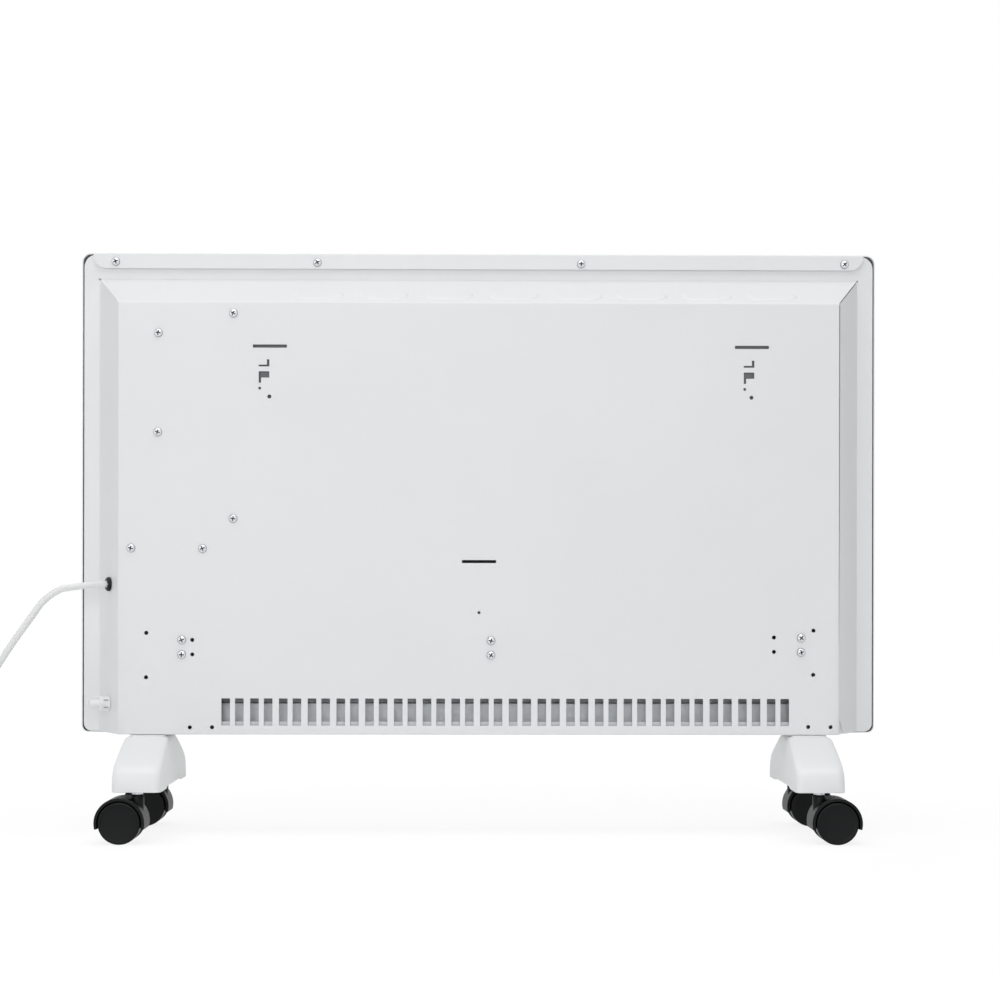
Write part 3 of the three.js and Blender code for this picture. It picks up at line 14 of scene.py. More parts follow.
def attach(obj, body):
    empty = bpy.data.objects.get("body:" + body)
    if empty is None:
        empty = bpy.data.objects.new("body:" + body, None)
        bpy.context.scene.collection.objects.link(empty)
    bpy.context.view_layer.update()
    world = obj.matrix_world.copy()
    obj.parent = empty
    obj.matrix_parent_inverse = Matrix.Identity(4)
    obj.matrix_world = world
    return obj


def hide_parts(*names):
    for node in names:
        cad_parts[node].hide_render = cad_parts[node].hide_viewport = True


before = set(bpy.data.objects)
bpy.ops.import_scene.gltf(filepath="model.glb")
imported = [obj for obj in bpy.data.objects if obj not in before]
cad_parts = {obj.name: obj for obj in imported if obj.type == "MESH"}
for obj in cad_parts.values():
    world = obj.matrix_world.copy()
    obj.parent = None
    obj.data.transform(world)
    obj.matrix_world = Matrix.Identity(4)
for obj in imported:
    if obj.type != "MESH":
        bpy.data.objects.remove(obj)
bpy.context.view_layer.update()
MM = 0.001

# ------------------------------------------------------------------ sizes
# They are the part's source's where that follows the photograph, and the photograph's own measures elsewhere.

REARWARD, UPWARD = (0, 1, 0), Vector((0, 0, 1))
TOOL_DEPTH = 3                          # reach of a cutting tool behind the face that it cuts
SHEET = 1.0
CASING_BOTTOM, FLANGE_Y, REAR_Y = 99.3, -35.0, 23.0
FLANGE_HALF, FLANGE_TOP = 397.8, 579.4
FOLD_HALF, FOLD_TOP = 382.2, 554.2
FACE_HALF, FACE_TOP = 354.5, 523.9
KNEE_HALF, KNEE_Y = 357.9, 14.0
PANEL_HALF, PANEL_LOW, PANEL_HIGH, PANEL_FRONT = 400.0, 98.0, 580.5, -50.0
PANEL_RIM = -34.7
LIP_GAP, LIP_HALF, LIP_DROP, LIP_RADIUS = 1.8, 388.0, 15.4, 13.0
KNEE_SLOPE = (KNEE_HALF - FACE_HALF) / (REAR_Y - KNEE_Y)
SIDE_SLOPE = (FOLD_HALF - KNEE_HALF) / (KNEE_Y - FLANGE_Y)
TOP_SLOPE = (FOLD_TOP - FACE_TOP) / (REAR_Y - FLANGE_Y)
SLOPE_NORMAL = Vector((KNEE_Y - FLANGE_Y, FOLD_HALF - KNEE_HALF, 0)).normalized()
SLOPE_ALONG = Vector((KNEE_HALF - FOLD_HALF, KNEE_Y - FLANGE_Y, 0)).normalized()
HANGER_X, WINDOW_SHIFT, HANGER_Z = (205.7, -268.2), (4.7, 1.8), 480.9
FOOT_X, STEM_Y, TRAIL = 325.5, 82.0, 15.0
CASTOR_TOP, BOSS_TOP = 49.0, 46.2
WHEEL_R, WHEEL_INNER = 20.2, 6.0
HOOD_INNER, HOOD_OUTER, HOOD_HALF = 21.0, 24.0, 18.5
CORD_DIAMETER = 6.8
BEAD_START, BEAD_PITCH, BEAD_COUNT = -290.2, 64.2, 8
BEAD_X = [BEAD_START + BEAD_PITCH * i for i in range(BEAD_COUNT)]
BOX_X, FASCIA_Z = 293.0, 439.3
BUSHING_PLACE, SENSOR_PLACE = (247.0, 7.93), (128.3, 4.0)    # height, and distance behind the slope's middle


def slope_point(place, out=0.0):
    """A point of the right side slope: `place` is its height and its distance behind the middle."""
    height, behind = place
    middle = Vector(((FOLD_HALF + KNEE_HALF) / 2, (FLANGE_Y + KNEE_Y) / 2, height))
    return middle + SLOPE_ALONG * behind + SLOPE_NORMAL * out


# ------------------------------------------------------------------ camera

CAMERA_PLACE = Vector((7.889, 2134.27, 240.38))
CAMERA_TURN = (0.602, -0.025, 0.095)    # yaw, pitch and roll, in degrees
FILM_WIDTH, FOCAL_SHARE, FILM_SHIFT = 36, 2.14826, (0.00647, 0.09236)
VIEW_FROM, VIEW_TO = 0.05, 50           # clipping distances, in metres


def set_camera():
    """Behind the heater, at the photograph's place: 2.13 m away and 0.24 m above the floor."""
    data = bpy.data.cameras.new("rear_view")
    data.sensor_width = FILM_WIDTH
    data.lens = FILM_WIDTH * FOCAL_SHARE
    data.shift_x, data.shift_y = FILM_SHIFT
    data.clip_start, data.clip_end = VIEW_FROM, VIEW_TO
    yaw, pitch, roll = (math.radians(turn) for turn in CAMERA_TURN)
    ahead = Vector((-math.sin(yaw) * math.cos(pitch), -math.cos(yaw) * math.cos(pitch), math.sin(pitch)))
    level = Vector((-math.cos(yaw), math.sin(yaw), 0))
    upright = level.cross(ahead)
    across = level * math.cos(roll) + upright * math.sin(roll)
    up = upright * math.cos(roll) - level * math.sin(roll)
    camera = bpy.data.objects.new("rear_view", data)
    camera.matrix_world = Matrix((
        (across.x, up.x, -ahead.x, CAMERA_PLACE.x * MM),
        (across.y, up.y, -ahead.y, CAMERA_PLACE.y * MM),
        (across.z, up.z, -ahead.z, CAMERA_PLACE.z * MM),
        (0, 0, 0, 1)))
    bpy.context.scene.collection.objects.link(camera)
    bpy.context.scene.camera = camera


# ------------------------------------------------------------------ node helpers


def linear(code):
    """An sRGB hex colour as linear RGBA."""
    parts = [int(code[i:i + 2], 16) / 255 for i in (0, 2, 4)]
    return [c / 12.92 if c <= 0.04045 else ((c + 0.055) / 1.055) ** 2.4 for c in parts] + [1]


def add(tree, kind, settings=None, **inputs):
    """Adds a node. Inputs are values, or (node, output) pairs to link.

    An input is named by its socket, with _ for a space, or by its number, as i0.
    """
    node = tree.nodes.new(kind)
    for key, value in (settings or {}).items():
        setattr(node, key, value)
    for key, value in inputs.items():
        numbered = key[0] == "i" and key[1:].isdigit()
        socket = node.inputs[int(key[1:]) if numbered else key.replace("_", " ")]
        if isinstance(value, tuple) and isinstance(value[0], bpy.types.Node):
            tree.links.new(value[0].outputs[value[1]], socket)
        else:
            socket.default_value = value
    return node


def finish_of(name):
    """A new material with a cleared tree and its object coordinates in millimetres; the caller adds the
    output.
    """
    material = bpy.data.materials.new(name)
    material.use_nodes = True
    tree = material.node_tree
    tree.nodes.clear()
    place = add(tree, "ShaderNodeTexCoord")
    in_mm = add(tree, "ShaderNodeVectorMath", {"operation": "SCALE"}, i0=(place, "Object"), Scale=1000.0)
    return material, tree, in_mm


def grained(name, colour, shade, roughness, grain, depth, drift, ior=1.5, metallic=0.0,
            stretch=(1, 1, 1), sheen_rough=0.06, level=0.5):
    """A surface whose tone drifts over `drift` mm, with a grain `grain` mm across and `depth` mm deep."""
    material, tree, in_mm = finish_of(name)
    drawn = add(tree, "ShaderNodeMapping", Vector=(in_mm, 0), Scale=stretch)
    cloud = add(tree, "ShaderNodeTexNoise", Vector=(in_mm, 0), Scale=1 / drift, Detail=2.0)
    fine = add(tree, "ShaderNodeTexNoise", Vector=(drawn, 0), Scale=1 / grain, Detail=3.0, Roughness=0.55)
    tone = add(tree, "ShaderNodeMix", {"data_type": "RGBA"}, Factor=(cloud, 0), i6=linear(colour),
               i7=linear(shade))
    rough = add(tree, "ShaderNodeMapRange", Value=(fine, 0), From_Min=0.3, From_Max=0.7,
                To_Min=roughness - sheen_rough, To_Max=roughness + sheen_rough)
    bump = add(tree, "ShaderNodeBump", Height=(fine, 0), Strength=1.0, Distance=depth * MM)
    shader = add(tree, "ShaderNodeBsdfPrincipled", Base_Color=(tone, 2), Roughness=(rough, 0),
                 Normal=(bump, 0), Metallic=metallic, IOR=ior, Specular_IOR_Level=level)
    add(tree, "ShaderNodeOutputMaterial", Surface=(shader, 0))
    return material


def zinc_head_painted_shade():
    """Zinc plate on a screw's dome with painted shade: bright where it faces the rear, and painted dark where
    it turns away from the light.
    """
    material, tree, in_mm = finish_of("passivated_screw_head_painted_shade")
    way = add(tree, "ShaderNodeNewGeometry")
    # Painted shade: the dome's colour darkens where its normal turns away from the rear and the top, standing
    # in for shade and dark reflections on the rim.
    lit = add(tree, "ShaderNodeVectorMath", {"operation": "DOT_PRODUCT"}, i0=(way, "Normal"),
              i1=(-0.05, 1.0, -0.10))
    rim = add(tree, "ShaderNodeMapRange", Value=(lit, "Value"), From_Min=0.22, From_Max=0.86)
    tone = add(tree, "ShaderNodeMix", {"data_type": "RGBA"}, Factor=(rim, 0), i6=linear("565a5e"),
               i7=linear("dde0e3"))
    fine = add(tree, "ShaderNodeTexNoise", Vector=(in_mm, 0), Scale=1.6, Detail=2.0)
    bump = add(tree, "ShaderNodeBump", Height=(fine, 0), Strength=1.0, Distance=0.005 * MM)
    shader = add(tree, "ShaderNodeBsdfPrincipled", Base_Color=(tone, 2), Roughness=0.3, Normal=(bump, 0),
                 Metallic=0.9)
    add(tree, "ShaderNodeOutputMaterial", Surface=(shader, 0))
    return material


def make_materials():
    """Each finish of the heater, by a short key."""
    return {
        # Polyester powder coat on steel: satin gloss with a faint orange peel, about 2 mm between crests.
        "coat": grained("polyester_powder_coat", "f1f3f4", "eceeef", 0.38, 2.2, 0.010, 160),
        # Injection-moulded ABS with a fine spark-eroded grain, drawn 0.9 mm wide to show: a soft, even white.
        "abs": grained("moulded_white_abs", "f3f4f5", "eff1f2", 0.42, 0.9, 0.012, 60, ior=1.53),
        # Plasticised PVC lead: slightly waxy white with a shallow drawn texture.
        "pvc": grained("plasticised_pvc", "f2f3f3", "edeeee", 0.42, 4.0, 0.004, 60, ior=1.54,
                       sheen_rough=0.03),
        # Moulded nylon: near-black with the dull gloss and light scuffs of a castor.
        "nylon": grained("moulded_black_nylon", "0a0c0e", "07090a", 0.42, 1.1, 0.012, 14, ior=1.53,
                         level=0.15),
        # Nylon snap bushing: a little glossier than the castors.
        "bushing": grained("black_nylon_bushing", "121415", "0e0f10", 0.38, 0.8, 0.01, 5, ior=1.53,
                           level=0.25),
        # Mid-grey ABS of the buttons and the control box.
        "grey": grained("moulded_grey_abs", "9a9da0", "8f9295", 0.48, 0.9, 0.015, 30, ior=1.53),
        # Passivated screw heads with painted shade: bright on the crown, and painted darker down the rim
        # where the dome turns away from the light.
        "head": zinc_head_painted_shade(),
        # Bright zinc plate: bluish silver, slightly cloudy, with sharp highlights.
        "zinc": grained("bright_zinc_plate", "cfd3d6", "b9bec2", 0.24, 0.7, 0.006, 4, metallic=1.0),
        # Extruded aluminium: dull silver, drawn into lines along the element.
        "aluminium": grained("extruded_aluminium", "b4b7ba", "a6a9ac", 0.42, 0.8, 0.02, 40, metallic=1.0,
                             stretch=(0.03, 1, 1)),
        # Unglazed steatite: warm, chalky ceramic.
        "steatite": grained("unglazed_steatite", "ece6d6", "ddd5c2", 0.62, 0.6, 0.03, 6, ior=1.6),
        # Green solder mask over copper: slightly glossy laminate.
        "mask": grained("green_solder_mask", "23583a", "1c4a30", 0.32, 1.5, 0.01, 9),
        # Smoked acrylic window: almost black, and glossy like glass.
        "acrylic": grained("smoked_acrylic", "0d0f11", "101315", 0.07, 6.0, 0.0015, 30, ior=1.49,
                           sheen_rough=0.02),
        # Nickel-plated brass pins: warm silver with fine lengthwise polish marks.
        "nickel": grained("nickel_plated_brass", "d8d2c6", "c6bfb0", 0.22, 0.5, 0.004, 5, metallic=1.0,
                          stretch=(1, 0.05, 1)),
        # Recesses such as the drive of a screw: steel painted darker than the head, as painted shade in the
        # hollow.
        "recess": grained("recess_steel_painted_shade", "6a6e72", "54585c", 0.5, 0.5, 0.01, 2, metallic=1.0),
        # Steel brackets beside the element, darkened by heat to a dull blue-grey.
        "blued": grained("heat_darkened_steel", "34383c", "292c30", 0.5, 1.2, 0.006, 12, metallic=0.8),
        # Phosphated steel of the trays behind the wall hanger openings: a flat, darker grey.
        "phosphated": grained("phosphated_steel", "858a8d", "797e81", 0.6, 1.2, 0.008, 14, metallic=0.2),
        # Hot-dip galvanised sheet of the inner air guide: dull grey with a faint spangle.
        "galvanised": grained("galvanised_sheet", "c6c9cb", "b8bcbf", 0.45, 5.0, 0.004, 9, metallic=0.45),
    }


# ------------------------------------------------------------------ mesh helpers

ON_AXIS = 1e-6


def rounded(x0, x1, y0, y1, low, high=None, steps=6):
    """Outline of a rectangle with rounded corners, anticlockwise: radius `low` at y0 and `high` at y1."""
    high = low if high is None else high
    points = []
    for cx, cy, r, start in ((x1 - low, y0 + low, low, -90), (x1 - high, y1 - high, high, 0),
                             (x0 + high, y1 - high, high, 90), (x0 + low, y0 + low, low, 180)):
        for i in range(steps + 1):
            a = math.radians(start + 90 * i / steps)
            points.append((cx + r * math.cos(a), cy + r * math.sin(a)))
            if r < ON_AXIS:
                break
    return points


def filleted(points, radii, steps=6):
    """An open line of (a, b) points with its inner corners rounded."""
    made = [points[0]]
    for i in range(1, len(points) - 1):
        corner, r = Vector(points[i]), radii[i - 1]
        back = (Vector(points[i - 1]) - corner).normalized()
        on = (Vector(points[i + 1]) - corner).normalized()
        half = math.acos(max(-1, min(1, back.dot(on)))) / 2
        reach = r / math.tan(half)
        middle = corner + (back + on).normalized() * (r / math.sin(half))
        a, b = corner + back * reach - middle, corner + on * reach - middle
        turn = math.atan2(a.x * b.y - a.y * b.x, a.dot(b))
        for k in range(steps + 1):
            t = turn * k / steps
            made.append((middle.x + a.x * math.cos(t) - a.y * math.sin(t),
                         middle.y + a.x * math.sin(t) + a.y * math.cos(t)))
    made.append(points[-1])
    return made


def loft(rings):
    """Closed skin through rings with the same number of points, as (points, faces)."""
    count, points, faces = len(rings[0]), [p for ring in rings for p in ring], []
    for level in range(len(rings) - 1):
        for i in range(count):
            a, b = level * count + i, level * count + (i + 1) % count
            faces.append((a, b, b + count, a + count))
    last = (len(rings) - 1) * count
    faces.append(tuple(range(count - 1, -1, -1)))
    faces.append(tuple(range(last, last + count)))
    return points, faces


def lathe(profile, steps, start, direction):
    """Closed solid of revolution: profile is (radius, distance) pairs that start and end on the axis."""
    axis = Vector(direction).normalized()
    turn = UPWARD.rotation_difference(axis)
    points, rows = [], []
    for radius, distance in profile:
        row = []
        for i in range(1 if radius < ON_AXIS else steps):
            a = 2 * math.pi * i / steps
            row.append(len(points))
            spoke = Vector((radius * math.cos(a), radius * math.sin(a), distance))
            points.append(Vector(start) + turn @ spoke)
        rows.append(row)
    faces = []
    for low, high in zip(rows, rows[1:]):
        for i in range(steps):
            a, b = low[i % len(low)], low[(i + 1) % len(low)]
            c, d = high[(i + 1) % len(high)], high[i % len(high)]
            face = [a] + ([b] if b != a else []) + [c] + ([d] if d != c else [])
            if len(face) > 2:
                faces.append(tuple(face))
    return points, faces


def rod(radius, low, high, steps, start, direction):
    """A plain cylinder from `low` to `high` along an axis."""
    return lathe([(0, low), (radius, low), (radius, high), (0, high)], steps, start, direction)


def block(x0, x1, y0, y1, z0, z1):
    """A plain box, as a tool that cuts."""
    return loft([[Vector((x, y, z)) for x, y in ((x0, y0), (x1, y0), (x1, y1), (x0, y1))] for z in (z0, z1)])


def turned(shape, start, along, across, up):
    """A shape laid at `start` on three axes of its own."""
    points, faces = shape
    return [start + along * p.x + across * p.y + up * p.z for p in points], faces


def along_y(outline, y0, y1):
    """An (x, z) outline given thickness along Y."""
    return loft([[Vector((x, y, z)) for x, z in outline] for y in (y0, y1)])


def through_rear(outline):
    """An (x, z) outline as a tool that passes through the rear face."""
    return along_y(outline, REAR_Y - TOOL_DEPTH, REAR_Y + 1)


def hole(x, z, radius):
    """A round tool that passes through the rear face."""
    return rod(radius, 0, TOOL_DEPTH + 1, 24, (x, REAR_Y - TOOL_DEPTH, z), REARWARD)


def together(shapes):
    """Several (points, faces) shapes as one."""
    points, faces = [], []
    for some, their in shapes:
        base = len(points)
        points += list(some)
        faces += [tuple(base + i for i in face) for face in their]
    return points, faces


def as_object(name, shape):
    """A mesh object in metres, at the origin, with its faces turned outwards."""
    points, faces = shape
    mesh = bpy.data.meshes.new(name)
    mesh.from_pydata([tuple(Vector(p) * MM) for p in points], [], faces)
    net = bmesh.new()
    net.from_mesh(mesh)
    bmesh.ops.remove_doubles(net, verts=net.verts, dist=1e-6)
    bmesh.ops.recalc_face_normals(net, faces=net.faces)
    net.to_mesh(mesh)
    net.free()
    made = bpy.data.objects.new(name, mesh)
    bpy.context.scene.collection.objects.link(made)
    return made


def apply_modifiers(obj):
    """Turns the object's modifiers to plain mesh."""
    bpy.context.view_layer.update()
    made = bpy.data.meshes.new_from_object(obj.evaluated_get(bpy.context.evaluated_depsgraph_get()))
    obj.modifiers.clear()
    old, obj.data = obj.data, made
    bpy.data.meshes.remove(old)


def cut(obj, shapes, operation="DIFFERENCE"):
    """Cuts closed shapes out of an object, or joins them to it."""
    for shape in shapes:
        tool = as_object("tool", shape)
        change = obj.modifiers.new("cut", "BOOLEAN")
        change.operation, change.solver, change.object = operation, "MANIFOLD", tool
        apply_modifiers(obj)
        bpy.data.objects.remove(tool)


def enter(obj, body, replaces, smooth):
    """Smooth shading by angle, body and the CAD nodes that the piece stands for."""
    obj.data.shade_smooth()
    obj.data.set_sharp_from_angle(angle=math.radians(smooth))
    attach(obj, body)
    if replaces:
        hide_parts(*replaces)


def dress(obj, material, body, replaces, smooth=32):
    """One material on the whole piece, and then its entry."""
    obj.data.materials.clear()
    obj.data.materials.append(material)
    enter(obj, body, replaces, smooth)


# ------------------------------------------------------------------ rear casing

RETURN_BEND = 1.5                       # outer radius of the bend along the bottom of the rear face
BEAD_HALF, BEAD_RADIUS, BEAD_FALL = 24.7, 13, 19
BEAD_LEVELS = ((-1.4, 0.0), (0.1, 0.0), (0.55, 0.5), (0.9, 1.2), (1.12, 2.2), (1.2, 3.4))    # rise, and inset
SLOT_HALF, HANGER_SLOT_RISE, LOWER_SLOT_RISE = 16.75, 1.6, 1.5
LOWER_SLOT_Z, LOWER_HOLE = 269.7, (0, 219.5, 1.4)
SMALL_RADIUS = 2.0
SMALL_HOLES = [(326.4, 199.2), (326.6, 155.6), (-329.4, 202.3), (-329.1, 158.8), (281.4, 192.3),
               (281.3, 178.1), (-290.4, 195.5), (-290.4, 181.3), (283.6, 106.5), (261.8, 106.6),
               (-324.3, 107.4), (-346.4, 107.3)]
VENT_MIDDLE, VENT_PITCH, VENT_COUNT, VENT_PAIR = -26.33, 28.22, 20, 6.68
VENT_HALF, VENT_LOW, VENT_HIGH, VENT_CORNER = 4.25, 108.3, 135.0, 0.4
RELIEF_RADIUS, FITTING_BORE = 0.9, 6.3
FLANGE_CORNERS, FACE_STEP = (8, 13), 1.4                   # the flange's corners, and its bend to the slope
MITRE_MIDDLE, MITRE_SHARE, MITRE_REACH, MITRE_GAP = 0.51, 0.93, 3, 0.45
NOTCH_CURVE = [(0, -1), (0, 14), (1.6, 13.4), (2.7, 12), (3.5, 9.6), (4.3, 6.8), (5.4, 4.4), (6.9, 2.1),
               (9.9, -1)]
TAB_INSETS, TAB_DEPTHS, TAB_HEIGHTS = (0.7, 1.6), (REAR_Y - 0.3, KNEE_Y, -2.0), (0.4, 16)
JOINT_GAPS = ((190, 0.15), (235, 0.4), (330, 0.7), (FACE_TOP - 1, 0.9))    # height, and gap


def sharp_half(y, inset):
    """Half width of the tub at depth y before its folds are rounded, drawn in by `inset`."""
    back = REAR_Y - y
    knee = FACE_HALF + back * KNEE_SLOPE - inset * math.hypot(1, KNEE_SLOPE)
    slope = KNEE_HALF + (KNEE_Y - y) * SIDE_SLOPE - inset * math.hypot(1, SIDE_SLOPE)
    return max(knee, slope)


def casing_tub(inset):
    """The folded tub as one closed solid, drawn in by `inset`, with rounded folds."""
    rear, start = REAR_Y - inset, FLANGE_Y - inset
    steeper = math.hypot(1, KNEE_SLOPE) - math.hypot(1, SIDE_SLOPE)
    bend = KNEE_Y + inset * steeper / (SIDE_SLOPE - KNEE_SLOPE)
    wide, side = sharp_half(start, inset), sharp_half(rear, inset)
    line = filleted([(wide + 9, start), (wide, start), (sharp_half(bend, inset), bend), (side, rear),
                     (side - 30, rear)], [FACE_STEP + inset, 6.0, 1.9 - inset], 7)[1:-1]
    rings = []
    for half, y in [(line[0][0], start - (4 if inset else 0.5))] + line:
        sharp_top = FACE_TOP + (REAR_Y - y) * TOP_SLOPE - inset * math.hypot(1, TOP_SLOPE)
        top = sharp_top - (sharp_half(max(y, start), inset) - half)
        curl = 0.0 if inset else max(0.0, y - (rear - RETURN_BEND))
        low = CASING_BOTTOM + inset + (RETURN_BEND - math.sqrt(max(0.0, RETURN_BEND ** 2 - curl ** 2)))
        rings.append([Vector((-half, y, low)), Vector((-half, y, top)),
                      Vector((half, y, top)), Vector((half, y, low))])
    return loft(rings)


def lean(points, x, y):
    """Points drawn flat, laid on the top slope at (x, y)."""
    tilt = Matrix.Rotation(-math.atan(TOP_SLOPE), 4, "X")
    z = FACE_TOP + (REAR_Y - y) * TOP_SLOPE
    return [tilt @ p + Vector((x, y, z)) for p in points]


def top_bead(x):
    """A pressed bead with round ends and a soft crown, 1.2 mm proud of the top slope."""
    rings = []
    for rise, inset in BEAD_LEVELS:
        half, radius = BEAD_HALF - inset, BEAD_RADIUS - inset
        outline = rounded(-half, half, -radius, radius, radius, steps=8)
        rings.append(lean([Vector((a, b, rise)) for a, b in outline], x, REAR_Y - BEAD_FALL))
    return loft(rings)


def mitre_blade(side):
    """A thin blade in the mitre between the top slope and a side slope."""
    low = Vector((side * FOLD_HALF, FLANGE_Y, FOLD_TOP))
    high = Vector((side * FACE_HALF, REAR_Y, FACE_TOP))
    along = (high - low).normalized()
    inward = Vector((-side, 0, -1))
    inward = (inward - along * along.dot(inward)).normalized()
    across = along.cross(inward)
    reach = (high - low).length * MITRE_SHARE / 2
    blade = block(-reach, reach, -MITRE_REACH, MITRE_REACH, -MITRE_GAP, MITRE_GAP)
    return turned(blade, low.lerp(high, MITRE_MIDDLE), along, inward, across)


def hanger_cuts(slot_x, x):
    """A long slot above a stamped window: a thin slit, the strap left between, and a flag-shaped hole."""
    z = HANGER_Z
    slit = [(x - 4.2, z - 20.0), (x + 6.2, z - 20.0), (x + 6.2, z - 18.2), (x - 1.8, z - 18.2),
            (x - 1.8, z - 13.0), (x - 4.2, z - 13.0)]
    flag = [(x + 6.2, z - 24.7), (x - 4.2, z - 24.7), (x - 4.2, z - 30.9), (x + 3.8, z - 30.9),
            (x + 3.8, z - 35.9), (x + 6.2, z - 35.9)]
    return [long_slot(slot_x, z, HANGER_SLOT_RISE), through_rear(slit), through_rear(flag),
            hole(x + 5.2, z - 41.3, 1.4), hole(slot_x + 0.4, z - 49.5, 2.0)]


def long_slot(x, z, rise):
    """A level slot through the rear face, `rise` mm to either side of its middle."""
    return through_rear(rounded(x - SLOT_HALF, x + SLOT_HALF, z - rise, z + rise, 0.5))


def vent_cuts():
    """Twenty pairs of intake slots along the bottom of the rear face."""
    made = []
    for i in range(VENT_COUNT):
        for side in (-1, 1):
            x = VENT_MIDDLE + (i - (VENT_COUNT - 1) / 2) * VENT_PITCH + side * VENT_PAIR
            slot = rounded(x - VENT_HALF, x + VENT_HALF, VENT_LOW, VENT_HIGH, VENT_CORNER, steps=2)
            made.append(through_rear(slot))
    return made


def corner_notch():
    """The left slope's lower corner, rounded away from the rear face."""
    near = -FACE_HALF - 0.3
    return along_y([(near - a, CASING_BOTTOM + b) for a, b in NOTCH_CURVE], KNEE_Y - 18, REAR_Y + 1)


def corner_tab():
    """The folded tab of sheet that closes the left slope's lower corner from inside."""
    outer, inner = ([(-sharp_half(y, inset), y) for y in TAB_DEPTHS] for inset in TAB_INSETS)
    outline = outer + inner[::-1]
    return loft([[Vector((x, y, CASING_BOTTOM + z)) for x, y in outline] for z in TAB_HEIGHTS])


def fold_slit():
    """The open joint between the left slope and the rear face, which closes towards the bottom."""
    near, rings = -FACE_HALF, []
    for z, gap in JOINT_GAPS:
        corners = ((near - gap, KNEE_Y), (near, KNEE_Y), (near, REAR_Y + 1), (near - gap, REAR_Y + 1))
        rings.append([Vector((x, y, z)) for x, y in corners])
    return loft(rings)


def make_casing(finishes):
    """Flange, rounded folds, slopes and punched rear face, as one sheet."""
    flange = along_y(rounded(-FLANGE_HALF, FLANGE_HALF, CASING_BOTTOM, FLANGE_TOP, *FLANGE_CORNERS, 10),
                     FLANGE_Y - SHEET, FLANGE_Y)
    casing = as_object("rear_casing_sheet", flange)
    cut(casing, [casing_tub(0.0), together([top_bead(x) for x in BEAD_X])], "UNION")
    punched = [shape for x, shift in zip(HANGER_X, WINDOW_SHIFT) for shape in hanger_cuts(x, x + shift)]
    punched += [long_slot(0, LOWER_SLOT_Z, LOWER_SLOT_RISE), hole(*LOWER_HOLE)]
    punched += [hole(x, z, SMALL_RADIUS) for x, z in SMALL_HOLES]
    relief = [rod(RELIEF_RADIUS, 0, 5, 24, (side * FOLD_HALF, FLANGE_Y - TOOL_DEPTH, FOLD_TOP), REARWARD)
              for side in (-1, 1)]
    cut(casing, [casing_tub(SHEET), together(vent_cuts()), together(punched)])
    cut(casing, [mitre_blade(-1), together(relief), corner_notch(), fold_slit()])
    cut(casing, [corner_tab()], "UNION")
    bores = [rod(FITTING_BORE, 0, 5, 32, slope_point(place, -TOOL_DEPTH), SLOPE_NORMAL)
             for place in (BUSHING_PLACE, SENSOR_PLACE)]
    cut(casing, [together(bores)])
    dress(casing, finishes["coat"], "heater", ["rear_casing"], 28)


# ------------------------------------------------------------------ front panel

PAN_STEPS, PAN_BEND, PAN_CORNERS, SHARPEST = 8, 2.4, (7, 9), 0.8    # the lower corners, and the upper
LIP_BORE, LIP_OUTER_BEND, LIP_INNER_BEND = 1.9, 1.6, 0.6
OUTLET_ROWS = [546.5, 529.5, 512.5, 495.5]
OUTLET_HALF, OUTLET_RISE, OUTLET_CORNER = 24.7, 6.5, 1.2
HOOD_REACH, HOOD_PRESS, HOOD_FALL, HOOD_RAMP = 25.7, 4.2, 7.5, 7.5
WINDOW_HALF, WINDOW_TALL, WINDOW_CORNER = 38.8, 62.8, 5


def pan(low_y, high_y, inset, bend):
    """A shallow pan as a closed solid from its rim at high_y to its face at low_y, with rounded edges."""
    rings = []
    for k in range(-1, PAN_STEPS + 1):
        a = math.radians(90 * max(k, 0) / PAN_STEPS)
        y = high_y if k < 0 else low_y + bend * (1 - math.sin(a))
        grow = inset + (0 if k < 0 else bend * (1 - math.cos(a)))
        outline = rounded(-PANEL_HALF + grow, PANEL_HALF - grow, PANEL_LOW + grow, PANEL_HIGH - grow,
                          *(max(corner - grow, SHARPEST) for corner in PAN_CORNERS), PAN_STEPS)
        rings.append([Vector((x, y, z)) for x, z in outline])
    return loft(rings)


def top_lip():
    """The top edge bent over the casing's flange, seen from the rear, with rounded lower corners."""
    near, far = PANEL_RIM + LIP_GAP, PANEL_RIM + LIP_GAP + SHEET
    start, low = PANEL_RIM - 2, PANEL_HIGH - LIP_DROP
    outer = filleted([(start, PANEL_HIGH), (far, PANEL_HIGH), (far, low)], [LIP_OUTER_BEND])
    inner = filleted([(start, PANEL_HIGH - SHEET), (near, PANEL_HIGH - SHEET), (near, low)],
                     [LIP_INNER_BEND])
    lip = loft([[Vector((x, y, z)) for y, z in outer + inner[::-1]] for x in (-LIP_HALF, LIP_HALF)])
    x, z = LIP_HALF - LIP_RADIUS, low + LIP_RADIUS
    bow = [(x + LIP_RADIUS * math.sin(math.radians(a)), z - LIP_RADIUS * math.cos(math.radians(a)))
           for a in range(0, 91, 9)]
    waste = bow + [(LIP_HALF + 2, z), (LIP_HALF + 2, z - LIP_RADIUS - 2), (x, z - LIP_RADIUS - 2)]
    corners = [along_y([(side * a, b) for a, b in waste], near - 0.6, far + 1) for side in (-1, 1)]
    return lip, corners


def hood_shape():
    """One pressed louvre about the middle of its outlet's upper edge, with ends that die into the panel."""
    rings, across, down = [], 32, 6
    for i in range(across + 1):
        x = -HOOD_REACH + 2 * HOOD_REACH * i / across
        reach = min(1.0, (HOOD_REACH - abs(x)) / HOOD_RAMP)
        press = HOOD_PRESS * math.sqrt(1 - (1 - reach) ** 2)
        outer = [(PANEL_FRONT + SHEET, SHEET), (PANEL_FRONT, SHEET)]
        for k in range(1, down + 1):
            t = k / down
            outer.append((PANEL_FRONT - press * math.sin(t * math.pi / 2) ** 1.2, SHEET - HOOD_FALL * t))
        inner = [(y + SHEET, z) for y, z in outer[:1:-1]] + [(PANEL_FRONT + SHEET, 0.0)]
        rings.append([Vector((x, y, z)) for y, z in outer + inner])
    return loft(rings)


